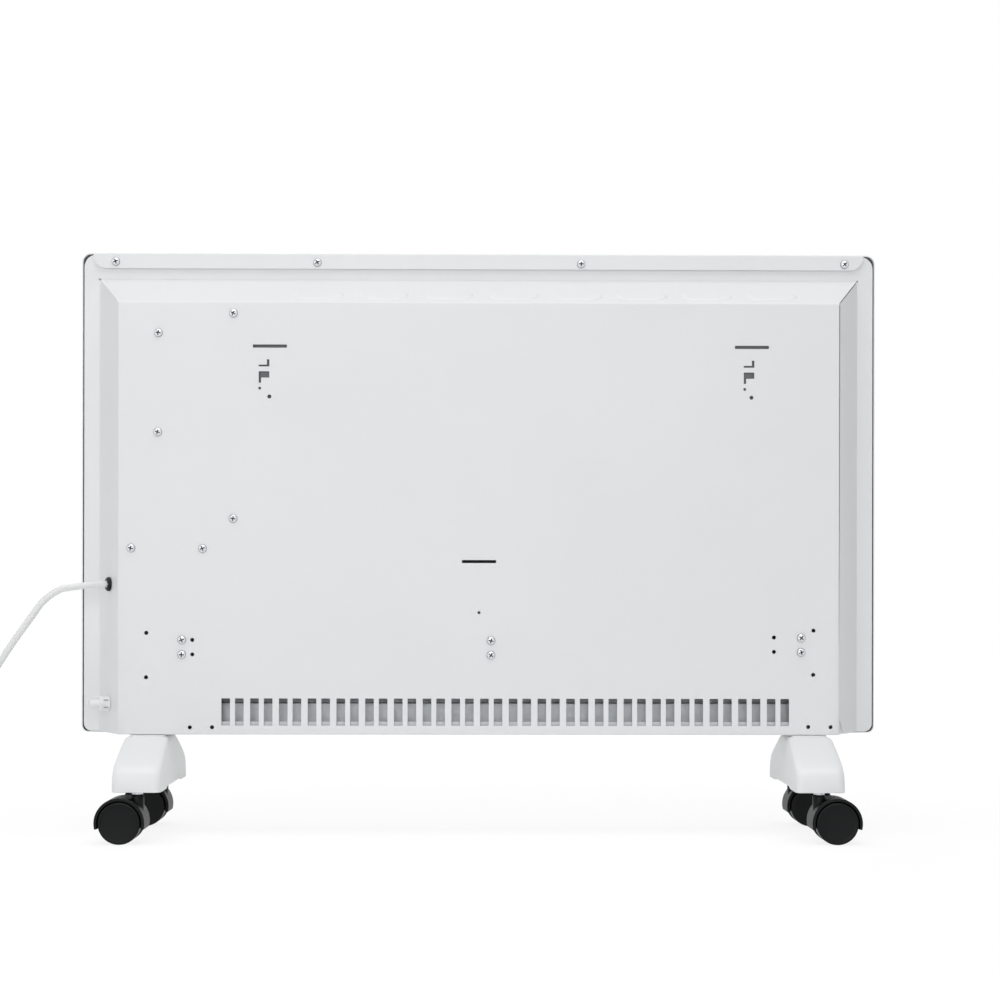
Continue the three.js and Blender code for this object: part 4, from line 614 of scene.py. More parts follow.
def louvre_tree(hood, material):
    """Geometry nodes: the same louvre on each vertex of a mesh, joined into one skin."""
    tree = bpy.data.node_groups.new("pressed_louvres", "GeometryNodeTree")
    tree.interface.new_socket("Places", in_out="INPUT", socket_type="NodeSocketGeometry")
    tree.interface.new_socket("Louvres", in_out="OUTPUT", socket_type="NodeSocketGeometry")
    start, end = tree.nodes.new("NodeGroupInput"), tree.nodes.new("NodeGroupOutput")
    shape = add(tree, "GeometryNodeObjectInfo", Object=hood)
    put = add(tree, "GeometryNodeInstanceOnPoints", Points=(start, "Places"), Instance=(shape, "Geometry"))
    real = add(tree, "GeometryNodeRealizeInstances", Geometry=(put, 0))
    painted = add(tree, "GeometryNodeSetMaterial", Geometry=(real, 0), Material=material)
    tree.links.new(painted.outputs[0], end.inputs["Louvres"])
    return tree


def make_panel(finishes):
    """The pressed front panel with its top lip and four rows of louvred outlets."""
    panel = as_object("front_panel_pressing", pan(PANEL_FRONT, PANEL_RIM, 0.0, PAN_BEND))
    cut(panel, [pan(PANEL_FRONT + SHEET, PANEL_RIM + 1, SHEET, PAN_BEND - SHEET)])
    lip, corners = top_lip()
    cut(panel, [lip], "UNION")
    screw_holes = [rod(LIP_BORE, 0, 4, 24, (x, PANEL_RIM, z), REARWARD) for x, z in LIP_SCREWS]
    openings = [rounded(x - OUTLET_HALF, x + OUTLET_HALF, z - OUTLET_RISE, z, OUTLET_CORNER, steps=4)
                for x in BEAD_X for z in OUTLET_ROWS]
    openings.append(rounded(BOX_X - WINDOW_HALF, BOX_X + WINDOW_HALF, FASCIA_Z - WINDOW_TALL,
                            FASCIA_Z + WINDOW_TALL, WINDOW_CORNER))
    punched = [along_y(outline, PANEL_FRONT - 1, PANEL_FRONT + 2) for outline in openings]
    cut(panel, [together(corners), together(screw_holes), together(punched)])
    dress(panel, finishes["coat"], "heater", ["front_panel"], 30)
    hood = as_object("louvre_shape", hood_shape())
    louvres = as_object("outlet_louvres", ([Vector((x, 0, z)) for x in BEAD_X for z in OUTLET_ROWS], []))
    louvres.modifiers.new("louvres", "NODES").node_group = louvre_tree(hood, finishes["coat"])
    apply_modifiers(louvres)
    bpy.data.objects.remove(hood)
    enter(louvres, "heater", [], 50)


# ------------------------------------------------------------------ sheet pieces behind the slots

CHANNEL_ENDS = (-311, 258)
TRAY_FALL, TRAY_HALF, TRAY_TALL = 57, 24, 64
TRAY_LEVELS = ((0, 0), (2.5, 0), (3.3, 0.4), (3.8, 1.0), (4, 1.9))    # depth, and inset


def make_channel(finishes):
    """The folded air guide behind the intake slots, with soft bends."""
    floor, near = CASING_BOTTOM + 1.3, REAR_Y - 2.9
    far, shelf, toe = near - 17, floor + 28.4, floor + 11.5
    back, top = far - 10, shelf + 13
    outside = filleted([(near, toe), (near, floor), (far, floor), (far, shelf - 1), (back, shelf - 1),
                        (back, top)], [1.8, 1.8, 0.3, 1.6], 5)
    inside = filleted([(near - 1, toe), (near - 1, floor + 1), (far + 1, floor + 1), (far + 1, shelf + 1.4),
                       (back + 1, shelf + 0.1), (back + 1, top)], [0.8, 0.8, 1.6, 0.7], 5)
    strip = loft([[Vector((x, y, z)) for y, z in outside + inside[::-1]] for x in CHANNEL_ENDS])
    dress(as_object("intake_channel_folded", strip), finishes["galvanised"], "heater",
          ["intake_channel"], 30)


def make_pockets(finishes):
    """The shallow drawn trays that close the wall bracket openings from inside."""
    for name, x, shift in zip(("right", "left"), HANGER_X, WINDOW_SHIFT):
        middle, low, rear = x + shift / 2, HANGER_Z - TRAY_FALL, REAR_Y - 1.3
        rings = []
        for deep, grow in TRAY_LEVELS:
            half = TRAY_HALF - grow
            outline = rounded(middle - half, middle + half, low + grow, low + TRAY_TALL - grow, 4 - grow)
            rings.append([Vector((a, rear - deep, b)) for a, b in outline])
        tray = as_object(f"hanger_tray_{name}", loft(rings))
        hollow = rounded(middle - TRAY_HALF + SHEET, middle + TRAY_HALF - SHEET, low + SHEET,
                         low + TRAY_TALL - SHEET, 3)
        cut(tray, [along_y(hollow, rear - 3, rear + 1)])
        dress(tray, finishes["phosphated"], "heater", [f"hanger_pocket_{name}"], 40)


# ------------------------------------------------------------------ screws

DRIVE_LENGTH, DRIVE_WIDTH, DRIVE_DEPTH = 5.0, 1.25, 2.4    # of the block that cuts each arm of the cross
WASTE_SIZE, WASTE_DROP = (0.03, 0.03, 0.02), -0.01003      # the block below the head, in metres
FACE_HEAD = {"Head radius": 4.25 * MM, "Head height": 2.5 * MM}
LIP_HEAD = {"Head radius": 4.2 * MM, "Head height": 2.6 * MM}
FACE_SCREWS = [(315, 493.7), (241.5, 513), (315.5, 396.2), (241.5, 311.5), (341.6, 282.3), (271.5, 282),
               (291.7, 192.2), (291.7, 177.8), (-11.9, 191.8), (-11.8, 177.6), (-317.2, 194.9),
               (-317.1, 180.8)]
LIP_SCREWS = [(365.8, 571.8), (163.1, 571.4), (-102.7, 570.6), (-368.8, 571.0)]


def screw_tree(material, recess):
    """Geometry nodes: a pan-head screw on each vertex of a mesh, facing +Y, each turned by a seeded angle."""
    tree = bpy.data.node_groups.new("pan_head_screws", "GeometryNodeTree")
    face = tree.interface
    face.new_socket("Places", in_out="INPUT", socket_type="NodeSocketGeometry")
    for name, value in {**LIP_HEAD, "Drive length": DRIVE_LENGTH * MM}.items():
        face.new_socket(name, in_out="INPUT", socket_type="NodeSocketFloat").default_value = value
    face.new_socket("Seed", in_out="INPUT", socket_type="NodeSocketInt")
    face.new_socket("Screws", in_out="OUTPUT", socket_type="NodeSocketGeometry")
    start, end = tree.nodes.new("NodeGroupInput"), tree.nodes.new("NodeGroupOutput")
    dome = add(tree, "GeometryNodeMeshUVSphere", Segments=40, Rings=20, Radius=(start, "Head radius"))
    flat = add(tree, "ShaderNodeMath", {"operation": "DIVIDE"}, i0=(start, "Head height"),
               i1=(start, "Head radius"))
    squash = add(tree, "ShaderNodeCombineXYZ", X=1.0, Y=1.0, Z=(flat, 0))
    head = add(tree, "GeometryNodeTransform", Geometry=(dome, "Mesh"), Scale=(squash, 0))
    waste = add(tree, "GeometryNodeMeshCube", Size=WASTE_SIZE)
    lowered = add(tree, "GeometryNodeTransform", Geometry=(waste, "Mesh"), Translation=(0, 0, WASTE_DROP))
    below = add(tree, "GeometryNodeSetMaterial", Geometry=(lowered, "Geometry"), Material=material)
    slot_size = add(tree, "ShaderNodeCombineXYZ", X=(start, "Drive length"), Y=DRIVE_WIDTH * MM,
                    Z=DRIVE_DEPTH * MM)
    slot = add(tree, "GeometryNodeMeshCube", Size=(slot_size, 0))
    crossed = add(tree, "GeometryNodeTransform", Geometry=(slot, "Mesh"), Rotation=(0, 0, math.pi / 2))
    both = add(tree, "GeometryNodeMeshBoolean", {"operation": "UNION"})
    tree.links.new(slot.outputs["Mesh"], both.inputs["Mesh 2"])
    tree.links.new(crossed.outputs["Geometry"], both.inputs["Mesh 2"])
    sunk_place = add(tree, "ShaderNodeCombineXYZ", Z=(start, "Head height"))
    drive = add(tree, "GeometryNodeTransform", Geometry=(both, "Mesh"), Translation=(sunk_place, 0))
    # The drive takes the darker recess steel: painted shade in the cross.
    marked = add(tree, "GeometryNodeSetMaterial", Geometry=(drive, "Geometry"), Material=recess)
    plain = add(tree, "GeometryNodeSetMaterial", Geometry=(head, "Geometry"), Material=material)
    shaped = add(tree, "GeometryNodeMeshBoolean", {"operation": "DIFFERENCE"}, Mesh_1=(plain, "Geometry"))
    tree.links.new(below.outputs["Geometry"], shaped.inputs["Mesh 2"])
    tree.links.new(marked.outputs["Geometry"], shaped.inputs["Mesh 2"])
    angle = add(tree, "FunctionNodeRandomValue", {"data_type": "FLOAT"}, Seed=(start, "Seed"))
    angle.inputs["Min"].default_value, angle.inputs["Max"].default_value = 0.0, math.pi / 2
    spin = add(tree, "ShaderNodeCombineXYZ", X=-math.pi / 2, Y=0.0, Z=0.0)
    turn = add(tree, "ShaderNodeCombineXYZ", Z=(angle, "Value"))
    put = add(tree, "GeometryNodeInstanceOnPoints", Points=(start, "Places"), Instance=(shaped, "Mesh"),
              Rotation=(spin, 0))
    twist = add(tree, "GeometryNodeRotateInstances", Instances=(put, 0), Rotation=(turn, 0))
    real = add(tree, "GeometryNodeRealizeInstances", Geometry=(twist, 0))
    tree.links.new(real.outputs[0], end.inputs["Screws"])
    return tree


def screws(name, places, finishes, sizes, seed, replaces=()):
    """A row of screws as one piece that rides with the heater."""
    group = screw_tree(finishes["head"], finishes["recess"])
    points = as_object(name, (places, []))
    change = points.modifiers.new("screws", "NODES")
    change.node_group = group
    wanted = {**sizes, "Seed": seed}
    for item in group.interface.items_tree:
        if item.name in wanted:
            change[item.identifier] = wanted[item.name]
    apply_modifiers(points)
    enter(points, "heater", replaces, 40)


def make_screws(finishes):
    """Twelve screws on the rear face and four on the lip."""
    face = [Vector((x, REAR_Y, z)) for x, z in FACE_SCREWS]
    lip = [Vector((x, PANEL_RIM + LIP_GAP + SHEET, z)) for x, z in LIP_SCREWS]
    screws("rear_face_screws", face, finishes, FACE_HEAD, 3)
    screws("lip_screws", lip, finishes, LIP_HEAD, 8, [f"lip_screw_{i}" for i in (1, 2, 3, 4)])


# ------------------------------------------------------------------ fittings on the side slope
# Profiles here and below are (radius, distance) pairs along the axis.

BUSHING_PROFILE = [(0, -16.8), (4.0, -16.8), (4.4, -16.5), (6.8, -3.8), (6.8, -1.3), (6, -1.3), (6, 0.3),
                   (6.7, 0.3), (7, 0.6), (7, 2.2), (6.8, 2.7), (6.0, 3.6), (5.6, 3.8), (0, 3.8)]
BUSHING_MOUTH = [(0, 0.9), (3.6, 0.9), (3.6, 3.2), (4.2, 4.8), (0, 4.8)]
BUSHING_JAW = (-15, 15, -0.55, 0.55, 2.9, 5.5)
SENSOR_PROFILE = [(0, -4.3), (4.2, -4.3), (4.5, -4.0), (6.8, -2.8), (6.8, -1.3), (6, -1.3), (6, 0.3),
                  (7.7, 0.3), (7.9, 0.5), (7.9, 0.9), (7.6, 1.2), (7.5, 8.6), (8.0, 8.9), (8.0, 9.9),
                  (7.6, 10.3), (5.1, 10.3), (4.7, 10.8), (4.6, 11.6), (4.5, 17.6), (4.2, 18.9), (3.4, 19.8),
                  (2.0, 20.3), (0, 20.4)]
SENSOR_SLITS, SENSOR_SLIT = 6, (4.6, 12, -0.8, 0.8, 1.7, 7.0)
PROBE_PROFILE = [(0, -5.8), (1.5, -5.8), (1.9, -5.4), (1.9, 14.6), (1.2, 15.6), (0, 16)]


def make_bushing(finishes):
    """The two-jaw strain relief: a short collar outside and a tapered sleeve inside the casing."""
    seat, across = slope_point(BUSHING_PLACE), SLOPE_NORMAL.cross(UPWARD)
    body = as_object("strain_relief", lathe(BUSHING_PROFILE, 48, seat, SLOPE_NORMAL))
    bore = lathe(BUSHING_MOUTH, 40, seat, SLOPE_NORMAL)
    jaw = turned(block(*BUSHING_JAW), seat, across, UPWARD, SLOPE_NORMAL)
    cut(body, [bore, jaw])
    dress(body, finishes["bushing"], "heater", ["cord_bushing"])


def make_sensor(finishes):
    """The vented collar and closed nose over the temperature probe."""
    seat, across = slope_point(SENSOR_PLACE), SLOPE_NORMAL.cross(UPWARD)
    body = as_object("sensor_cap", lathe(SENSOR_PROFILE, 48, seat, SLOPE_NORMAL))
    slits = []
    for i in range(SENSOR_SLITS):
        a = 2 * math.pi * i / SENSOR_SLITS
        ray = UPWARD * math.cos(a) + across * math.sin(a)
        side = across * math.cos(a) - UPWARD * math.sin(a)
        slits.append(turned(block(*SENSOR_SLIT), seat, ray, side, SLOPE_NORMAL))
    cut(body, [together(slits)])
    dress(body, finishes["abs"], "heater", ["sensor_housing"])
    cut(body, [rod(2.2, -6.5, 16.2, 24, seat, SLOPE_NORMAL)])
    probe = as_object("temperature_probe", lathe(PROBE_PROFILE, 24, seat, SLOPE_NORMAL))
    dress(probe, finishes["bushing"], "heater", ["sensor_probe"])


# ------------------------------------------------------------------ feet

FOOT_WALL = 2.6
NECK_HALF, NECK_DEPTH, NECK_CORNER, NECK_HEIGHTS = 17, 26, 6, (94.8, 99)
SOCKET_BOSS, SOCKET_BORE, BOSS_TALL, SOCKET_TALL = 7.7, 4.3, 19.4, 19.3
SOLE_ARCH = [(-61, 48), (61, 48), (44, 51.2), (-44, 51.2)]    # (y, z) of the hollow under the sole
FOOT_LEVELS = [    # height, half depth, half width and corner radius
    (0, 94.7, 23.3, 5.8), (0.4, 95, 23.5, 6.0), (8, 94.7, 23.45, 6.6), (12, 94.2, 23.4, 7.0),
    (15, 93.4, 23.4, 7.3), (18, 92.0, 23.35, 7.6), (20.5, 90.0, 23.3, 7.9), (23, 87.1, 23.2, 8.2),
    (25.5, 83.2, 23.1, 8.4), (28, 78.4, 22.95, 8.6), (30.5, 73.0, 22.8, 8.7), (33.5, 66.2, 22.55, 8.7),
    (36.5, 59.3, 22.3, 8.7), (39.5, 52.2, 22.0, 8.6), (42.5, 44.6, 21.7, 8.4), (44.8, 38.6, 21.4, 8.1),
    (46.3, 34.6, 20.9, 7.7), (47.3, 31.9, 20.2, 7.1), (48.0, 29.6, 19.2, 6.5), (48.4, 27.9, 18.1, 5.9)]


def foot_rings(inset):
    """The levels of a foot, drawn in by its wall where `inset` is given."""
    rings = []
    for i, (up, depth, width, radius) in enumerate(FOOT_LEVELS):
        sink = (inset if i else 1.0) if inset else 0
        z = CASTOR_TOP + up - sink
        outline = rounded(-width + inset, width - inset, -depth + inset, depth - inset,
                          max(radius - inset, 1.5), steps=8)
        rings.append([Vector((x, y, z)) for x, y in outline])
    return rings


def make_foot(side, name, finishes):
    """A hollow moulded foot: a flat sole with two domed ends that sweep up to a narrow neck."""
    def put(shape):
        points, faces = shape
        return [Vector(p) + Vector((side * FOOT_X, 0, 0)) for p in points], faces

    foot = as_object(name, put(loft(foot_rings(0.0))))
    plug = rounded(-NECK_HALF, NECK_HALF, -NECK_DEPTH, NECK_DEPTH, NECK_CORNER, steps=8)
    neck = [[Vector((x, y, z)) for x, y in plug] for z in NECK_HEIGHTS]
    bosses = [rod(SOCKET_BOSS, 0, BOSS_TALL, 32, (0, s * STEM_Y, CASTOR_TOP), UPWARD) for s in (-1, 1)]
    sockets = [rod(SOCKET_BORE, 0, SOCKET_TALL, 32, (0, s * STEM_Y, CASTOR_TOP - 1), UPWARD) for s in (-1, 1)]
    span = loft([[Vector((x, y, z)) for y, z in SOLE_ARCH] for x in (-40, 40)])
    cut(foot, [put(loft(foot_rings(FOOT_WALL)))])
    cut(foot, [put(loft(neck)), put(together(bosses))], "UNION")
    cut(foot, [put(together(sockets)), put(span)])
    dress(foot, finishes["abs"], "heater", [name.replace("_moulding", "")], 30)


# ------------------------------------------------------------------ castors

CASTORS = {"rear_right": (1, 1), "front_right": (1, -1), "rear_left": (-1, 1), "front_left": (-1, -1)}
HOOD_ENDS, HOOD_STEPS, HOOD_SHAVE, WEB_HALF = (-14, 194), 56, 0.7, 5.5
HUB_BORE, STEM_BORE, AXLE_HALF = 3.3, 4.3, 15
BOSS_PROFILE = [(0, 20), (6.3, 20), (6.3, 45.0), (5.9, 45.7), (5.2, BOSS_TOP), (0, BOSS_TOP)]
STEM_PROFILE = [(0, 28.2), (4, 28.2), (4, 46.5), (5.0, 46.5), (5.2, 46.7), (5.2, 48.5), (5.0, 48.7),
                (4, 48.7), (4, 66), (3, 67), (0, 67)]
AXLE_PROFILE = [(0, 0), (2.7, 0), (3, 0.3), (3, 29.7), (2.7, 30), (0, 30)]
WHEEL_PROFILE = [(HUB_BORE, 0), (HUB_BORE, 9.3), (0, 9.3), (0, 12.9), (16.2, 12.9), (17.0, 13.0),
                 (17.5, 13.3), (18.2, 13.5), (18.9, 13.45), (19.5, 13.1), (19.9, 12.5), (20.15, 11.6),
                 (20.2, 10.6), (20.2, 0.8), (19.6, 0), (10, 0), (10, 1.2), (8.4, 1.2), (8.4, 0),
                 (HUB_BORE, 0)]


def arc(middle_x, radius, backwards=False):
    """The hood's arc over a wheel at `middle_x`, as (x, z) points."""
    low, high = reversed(HOOD_ENDS) if backwards else HOOD_ENDS
    turns = [math.radians(low + (high - low) * i / HOOD_STEPS) for i in range(HOOD_STEPS + 1)]
    return [(middle_x + radius * math.cos(a), WHEEL_R + radius * math.sin(a)) for a in turns]


def make_castor(name, finishes):
    """Hood, wheels, axle and stem of one twin-wheel castor, trailing outwards from its foot."""
    sx, sy = CASTORS[name]
    x, y = sx * FOOT_X, sy * STEM_Y
    cx, body = x + sx * TRAIL, f"castor_{name}"
    rings = []
    for half, shave in ((-HOOD_HALF, HOOD_SHAVE), (-HOOD_HALF + HOOD_SHAVE, 0.0),
                        (HOOD_HALF - HOOD_SHAVE, 0.0), (HOOD_HALF, HOOD_SHAVE)):
        line = arc(cx, HOOD_OUTER - shave) + arc(cx, HOOD_INNER + shave * 0.5, backwards=True)
        rings.append([Vector((a, y + half, b)) for a, b in line])
    hood = as_object(f"{body}_cover", loft(rings))
    web = along_y(arc(cx, HOOD_OUTER - 0.4), y - WEB_HALF, y + WEB_HALF)
    cut(hood, [web, lathe(BOSS_PROFILE, 40, (x, y, 0), UPWARD)], "UNION")
    clear = [rod(HOOD_INNER, 0, 20, 64, (cx, y + s * WEB_HALF, WHEEL_R), (0, s, 0)) for s in (-1, 1)]
    bore = rod(STEM_BORE, 27.9, 47.2, 32, (x, y, 0), UPWARD)
    pivot = rod(HUB_BORE, 0, 12, 32, (cx, y - 6, WHEEL_R), REARWARD)
    cut(hood, [together(clear), bore, pivot])
    dress(hood, finishes["nylon"], body, [f"{body}_hood"], 40)
    pin = as_object(f"{body}_pin", lathe(STEM_PROFILE, 32, (x, y, 0), UPWARD))
    dress(pin, finishes["zinc"], "heater", [f"{body}_stem"])
    shaft = as_object(f"{body}_shaft", lathe(AXLE_PROFILE, 32, (cx, y - AXLE_HALF, WHEEL_R), REARWARD))
    dress(shaft, finishes["zinc"], body, [f"{body}_axle"])
    for side, s in (("front", -1), ("rear", 1)):
        start = (cx, y + s * WHEEL_INNER, WHEEL_R)
        wheel = as_object(f"{body}_tyre_{side}", lathe(WHEEL_PROFILE, 72, start, (0, s, 0)))
        dress(wheel, finishes["nylon"], f"wheel_{name}_{side}", [f"{body}_wheel_{side}"], 50)


# ------------------------------------------------------------------ lead and plug

CORD_ROUTE = [    # from the strain relief down to the floor
    (377.0, 1.8, 246.9), (384.0, 5.1, 246.2), (392.0, 8.2, 245.1), (402.0, 10.9, 243.8),
    (411.5, 12.3, 242.0), (420.0, 13.0, 237.4), (427.2, 13.2, 231.9), (433.2, 13.4, 225.4),
    (438.5, 13.4, 217.7), (446.5, 13.4, 206.8), (455.5, 13.4, 194.2), (464.5, 13.2, 181.0),
    (473.5, 12.8, 167.0), (482.5, 12.2, 152.2), (491.5, 11.4, 136.6), (500.0, 10.2, 120.2),
    (508.0, 8.8, 103.4), (515.2, 7.4, 86.4), (522.2, 6.0, 69.6), (529.4, 5.0, 53.8),
    (537.2, 4.4, 39.4), (546.0, 4.1, 27.0), (555.5, 4.1, 17.6)]
COIL_X, COIL_Y, COIL_OUTER, COIL_TURNS, TURN_POINTS = 574.0, 50.8, 46.7, 5.25, 48
COIL_PITCH, COIL_LAYER, CORD_REST = 7.4, 7.5, 3.6
COIL_LEAD, COIL_RUN_IN = 7.1, 3.4      # straight lengths before and after the coil
TAIL_STEPS = 10
PLUG_X, PLUG_Y, PLUG_R, PLUG_LIFT = 620.7, 124.5, 18.5, 0.2
PIN_SIDE, PIN_BORE = 9.5, 2.7
PLUG_END = [(6.6, 21), (8.2, 22.6), (10.5, 24), (13.2, 27), (14.5, 30), (15.2, 36), (15.5, 42), (16.4, 43.6),
            (18.0, 45.0), (18.5, 46.2), (18.5, 57.0), (18.2, 57.7), (17.6, 58), (0, 58)]
PIN_PROFILE = [(0, 0), (2.4, 0), (2.4, 24.6), (2.2, 25.6), (1.6, 26.4), (0.8, 26.7), (0, 26.7)]


def eased(share):
    """A share from 0 to 1 with a soft start and end."""
    share = min(max(share, 0), 1)
    return share * share * (3 - 2 * share)


def coil_point(turn):
    """The lead's centre after some turns: inwards on the upper layer, down, and outwards on the floor."""
    radius = COIL_OUTER - COIL_PITCH * min(turn, COIL_TURNS - turn)
    drop = eased((turn - COIL_TURNS / 2) * 2 + 0.5)
    angle = turn * 2 * math.pi - math.pi / 2
    return Vector((COIL_X + radius * math.cos(angle), COIL_Y + radius * math.sin(angle),
                   CORD_REST + COIL_LAYER * (1 - drop)))


def coil_heading(turn):
    """The lead's direction after some turns."""
    return Vector((math.cos(turn * 2 * math.pi), math.sin(turn * 2 * math.pi), 0))


def smooth_through(points, per=6):
    """A centripetal Catmull-Rom line through points."""
    line = [points[0] * 2 - points[1]] + points + [points[-1] * 2 - points[-2]]
    made = []
    for i in range(1, len(line) - 2):
        p0, p1, p2, p3 = line[i - 1:i + 3]
        t1 = (p1 - p0).length ** 0.5
        t2 = t1 + (p2 - p1).length ** 0.5
        t3 = t2 + (p3 - p2).length ** 0.5
        for k in range(per):
            t = t1 + (t2 - t1) * k / per
            a1 = p0.lerp(p1, t / t1)
            a2 = p1.lerp(p2, (t - t1) / (t2 - t1))
            a3 = p2.lerp(p3, (t - t2) / (t3 - t2))
            b1, b2 = a1.lerp(a2, t / t2), a2.lerp(a3, (t - t1) / (t3 - t1))
            made.append(b1.lerp(b2, (t - t1) / (t2 - t1)))
    return made + [points[-1]]


def lead_line():
    """Centre line of the whole lead, from inside the strain relief to the back of the plug, in mm."""
    start = [slope_point(BUSHING_PLACE, 1.2)] + [Vector(p) for p in CORD_ROUTE]
    turns = [coil_point(i / TURN_POINTS) for i in range(int(COIL_TURNS * TURN_POINTS) + 1)]
    tail_from = coil_point(COIL_TURNS) + coil_heading(COIL_TURNS) * COIL_LEAD
    reach, rise = PLUG_Y - 0.3 - tail_from.y, PLUG_R + PLUG_LIFT - CORD_REST
    tail = []
    for share in (i / TAIL_STEPS for i in range(TAIL_STEPS + 1)):
        height = CORD_REST + rise * eased((share - 0.1) / 0.8)
        tail.append(Vector((tail_from.x, tail_from.y + reach * share, height)))
    run_in = coil_point(0) - coil_heading(0) * COIL_RUN_IN
    run = smooth_through(start + [run_in - coil_heading(0) * COIL_LEAD, run_in])
    return run + turns + smooth_through(tail, 3)


def make_lead(finishes):
    """The white PVC lead as one swept curve, with its plug."""
    line = lead_line()
    data = bpy.data.curves.new("mains_lead", "CURVE")
    data.dimensions = "3D"
    spline = data.splines.new("POLY")
    spline.points.add(len(line) - 1)
    for point, place in zip(spline.points, line):
        point.co = (*(place * MM), 1)
    data.bevel_depth = CORD_DIAMETER / 2 * MM
    data.bevel_resolution = 5
    data.use_fill_caps = True
    data.materials.append(finishes["pvc"])
    lead = bpy.data.objects.new("mains_lead", data)
    bpy.context.scene.collection.objects.link(lead)
    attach(lead, "heater")
    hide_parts("cord_run", "cord_coil", "cord_tail")
    plug = make_plug(finishes)


def make_plug(finishes):
    """A moulded two-pin plug: ribbed strain relief, finger grips and a round face."""
    x, z = PLUG_X, PLUG_R + PLUG_LIFT
    neck = [(0, 0), (4.4, 0), (4.8, 0.5)]
    for i in range(5):
        at = 2.2 + i * 3.6
        wide = 5.0 + i * 0.25
        neck += [(wide, at), (wide + 0.5, at + 0.6), (wide + 0.5, at + 1.7), (wide, at + 2.3)]
    body = as_object("plug_moulding", lathe(neck + PLUG_END, 64, (x, PLUG_Y, z), REARWARD))
    sockets = [rod(PIN_BORE, 0, 9, 32, (x + s * PIN_SIDE, PLUG_Y + 50, z), REARWARD) for s in (-1, 1)]
    cut(body, [together(sockets)])
    dress(body, finishes["pvc"], "heater", ["plug_body"], 38)
    pins = []
    for i, s in ((1, 1), (2, -1)):
        pin = lathe(PIN_PROFILE, 32, (x + s * PIN_SIDE, PLUG_Y + 50.3, z), REARWARD)
        made = as_object(f"plug_pin_{i}_turned", pin)
        dress(made, finishes["nickel"], "heater", [f"plug_pin_{i}"])
        pins.append(made)
    return [body] + pins


# ------------------------------------------------------------------ buttons and fascia

KEYS = (("minus", 280, 421.35), ("plus", 306, 421.35), ("power", 280, 395.35), ("mode", 306, 395.35))
KEY_FRONT, FASCIA_FRONT, FASCIA_EDGE = -54.1, -52.5, 1.6
GLASS_Z = FASCIA_Z + 29.96
KEY_PROFILE = [(0, 0.45), (3.4, 0.2), (5.2, 0.0), (5.9, 0.12), (6.3, 0.4), (6.5, 0.9), (6.5, 4.3), (7.9, 4.3),
               (7.9, 5.3), (2, 5.3), (2, 20.4), (0, 20.4)]
WELL_PROFILE = [(0, -2), (8.0, -2), (7.3, 0.0), (6.8, 0.6), (6.8, 9), (0, 9)]
EDGE_STEPS = 6


def make_buttons(finishes):
    """Four round keys with a shallow dish in each cap."""
    for name, x, z in KEYS:
        key = as_object(f"key_{name}", lathe(KEY_PROFILE, 48, (x, KEY_FRONT, z), REARWARD))
        dress(key, finishes["grey"], f"button_{name}", [f"button_{name}"], 35)


def plate(wide, high, corner, face, back, edge, middle_z=FASCIA_Z):
    """A plate with a rounded front edge: full size at `back`, drawn in by the edge's radius at `face`."""
    rings = []
    for k in range(-1, EDGE_STEPS + 1):
        a = math.radians(90 * max(k, 0) / EDGE_STEPS)
        y = back if k < 0 else face + edge * (1 - math.sin(a))
        grow = 0 if k < 0 else edge * (1 - math.cos(a))
        outline = rounded(BOX_X - wide / 2 + grow, BOX_X + wide / 2 - grow, middle_z - high / 2 + grow,
                          middle_z + high / 2 - grow, max(corner - grow, 0.4), steps=8)
        rings.append([Vector((x, y, z)) for x, z in outline])
    return loft(rings)


def make_fascia(finishes):
    """The moulded control fascia with a window seat and four key wells, and the smoked window over it."""
    face = FASCIA_FRONT
    fascia = as_object("fascia_moulding", plate(84, 132, 8, face, -50.3, FASCIA_EDGE))
    cut(fascia, [plate(77, 125, 5, -51.3, -44.0, 0.3)], "UNION")
    wells = [lathe(WELL_PROFILE, 48, (x, face, z), REARWARD) for _, x, z in KEYS]
    seat = plate(58.6, 40.6, 3, face - 1, face + 1.4, 0.1, GLASS_Z)
    through = plate(52, 34, 2, face - 1, face + 4, 0.1, GLASS_Z)
    cut(fascia, [plate(72.2, 120.2, 3, face + 2.4, -43, 0.3), together(wells), seat, through])
    dress(fascia, finishes["abs"], "heater", ["control_fascia"])
    glass = as_object("smoked_window", plate(58, 40, 3, face, face + 1.1, 0.35, GLASS_Z))
    dress(glass, finishes["acrylic"], "heater", ["display_window"], 30)


# ------------------------------------------------------------------ CAD nodes that stay

NODE_FINISH = {    # finish and slot of each
    "heating_element": ("aluminium", "aluminium"),
    "element_end_right": ("steatite", "ceramic"), "element_end_left": ("steatite", "ceramic"),
    "element_bracket_right": ("blued", "zinc_steel"), "element_bracket_middle": ("blued", "zinc_steel"),
    "element_bracket_left": ("blued", "zinc_steel"), "thermal_cutout": ("bushing", "black_plastic"),
    "control_box": ("grey", "grey_plastic"), "control_board": ("mask", "circuit_board"),
    "tilt_switch": ("bushing", "black_plastic"), "terminal_block": ("abs", "white_plastic")}


def dress_nodes(finishes):
    """The inner pieces keep their CAD shape and take a finish."""
    for name, (finish, slot) in NODE_FINISH.items():
        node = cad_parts[name]
        node.data.materials.clear()
        node.data.materials.append(finishes[finish])


# ------------------------------------------------------------------ stage

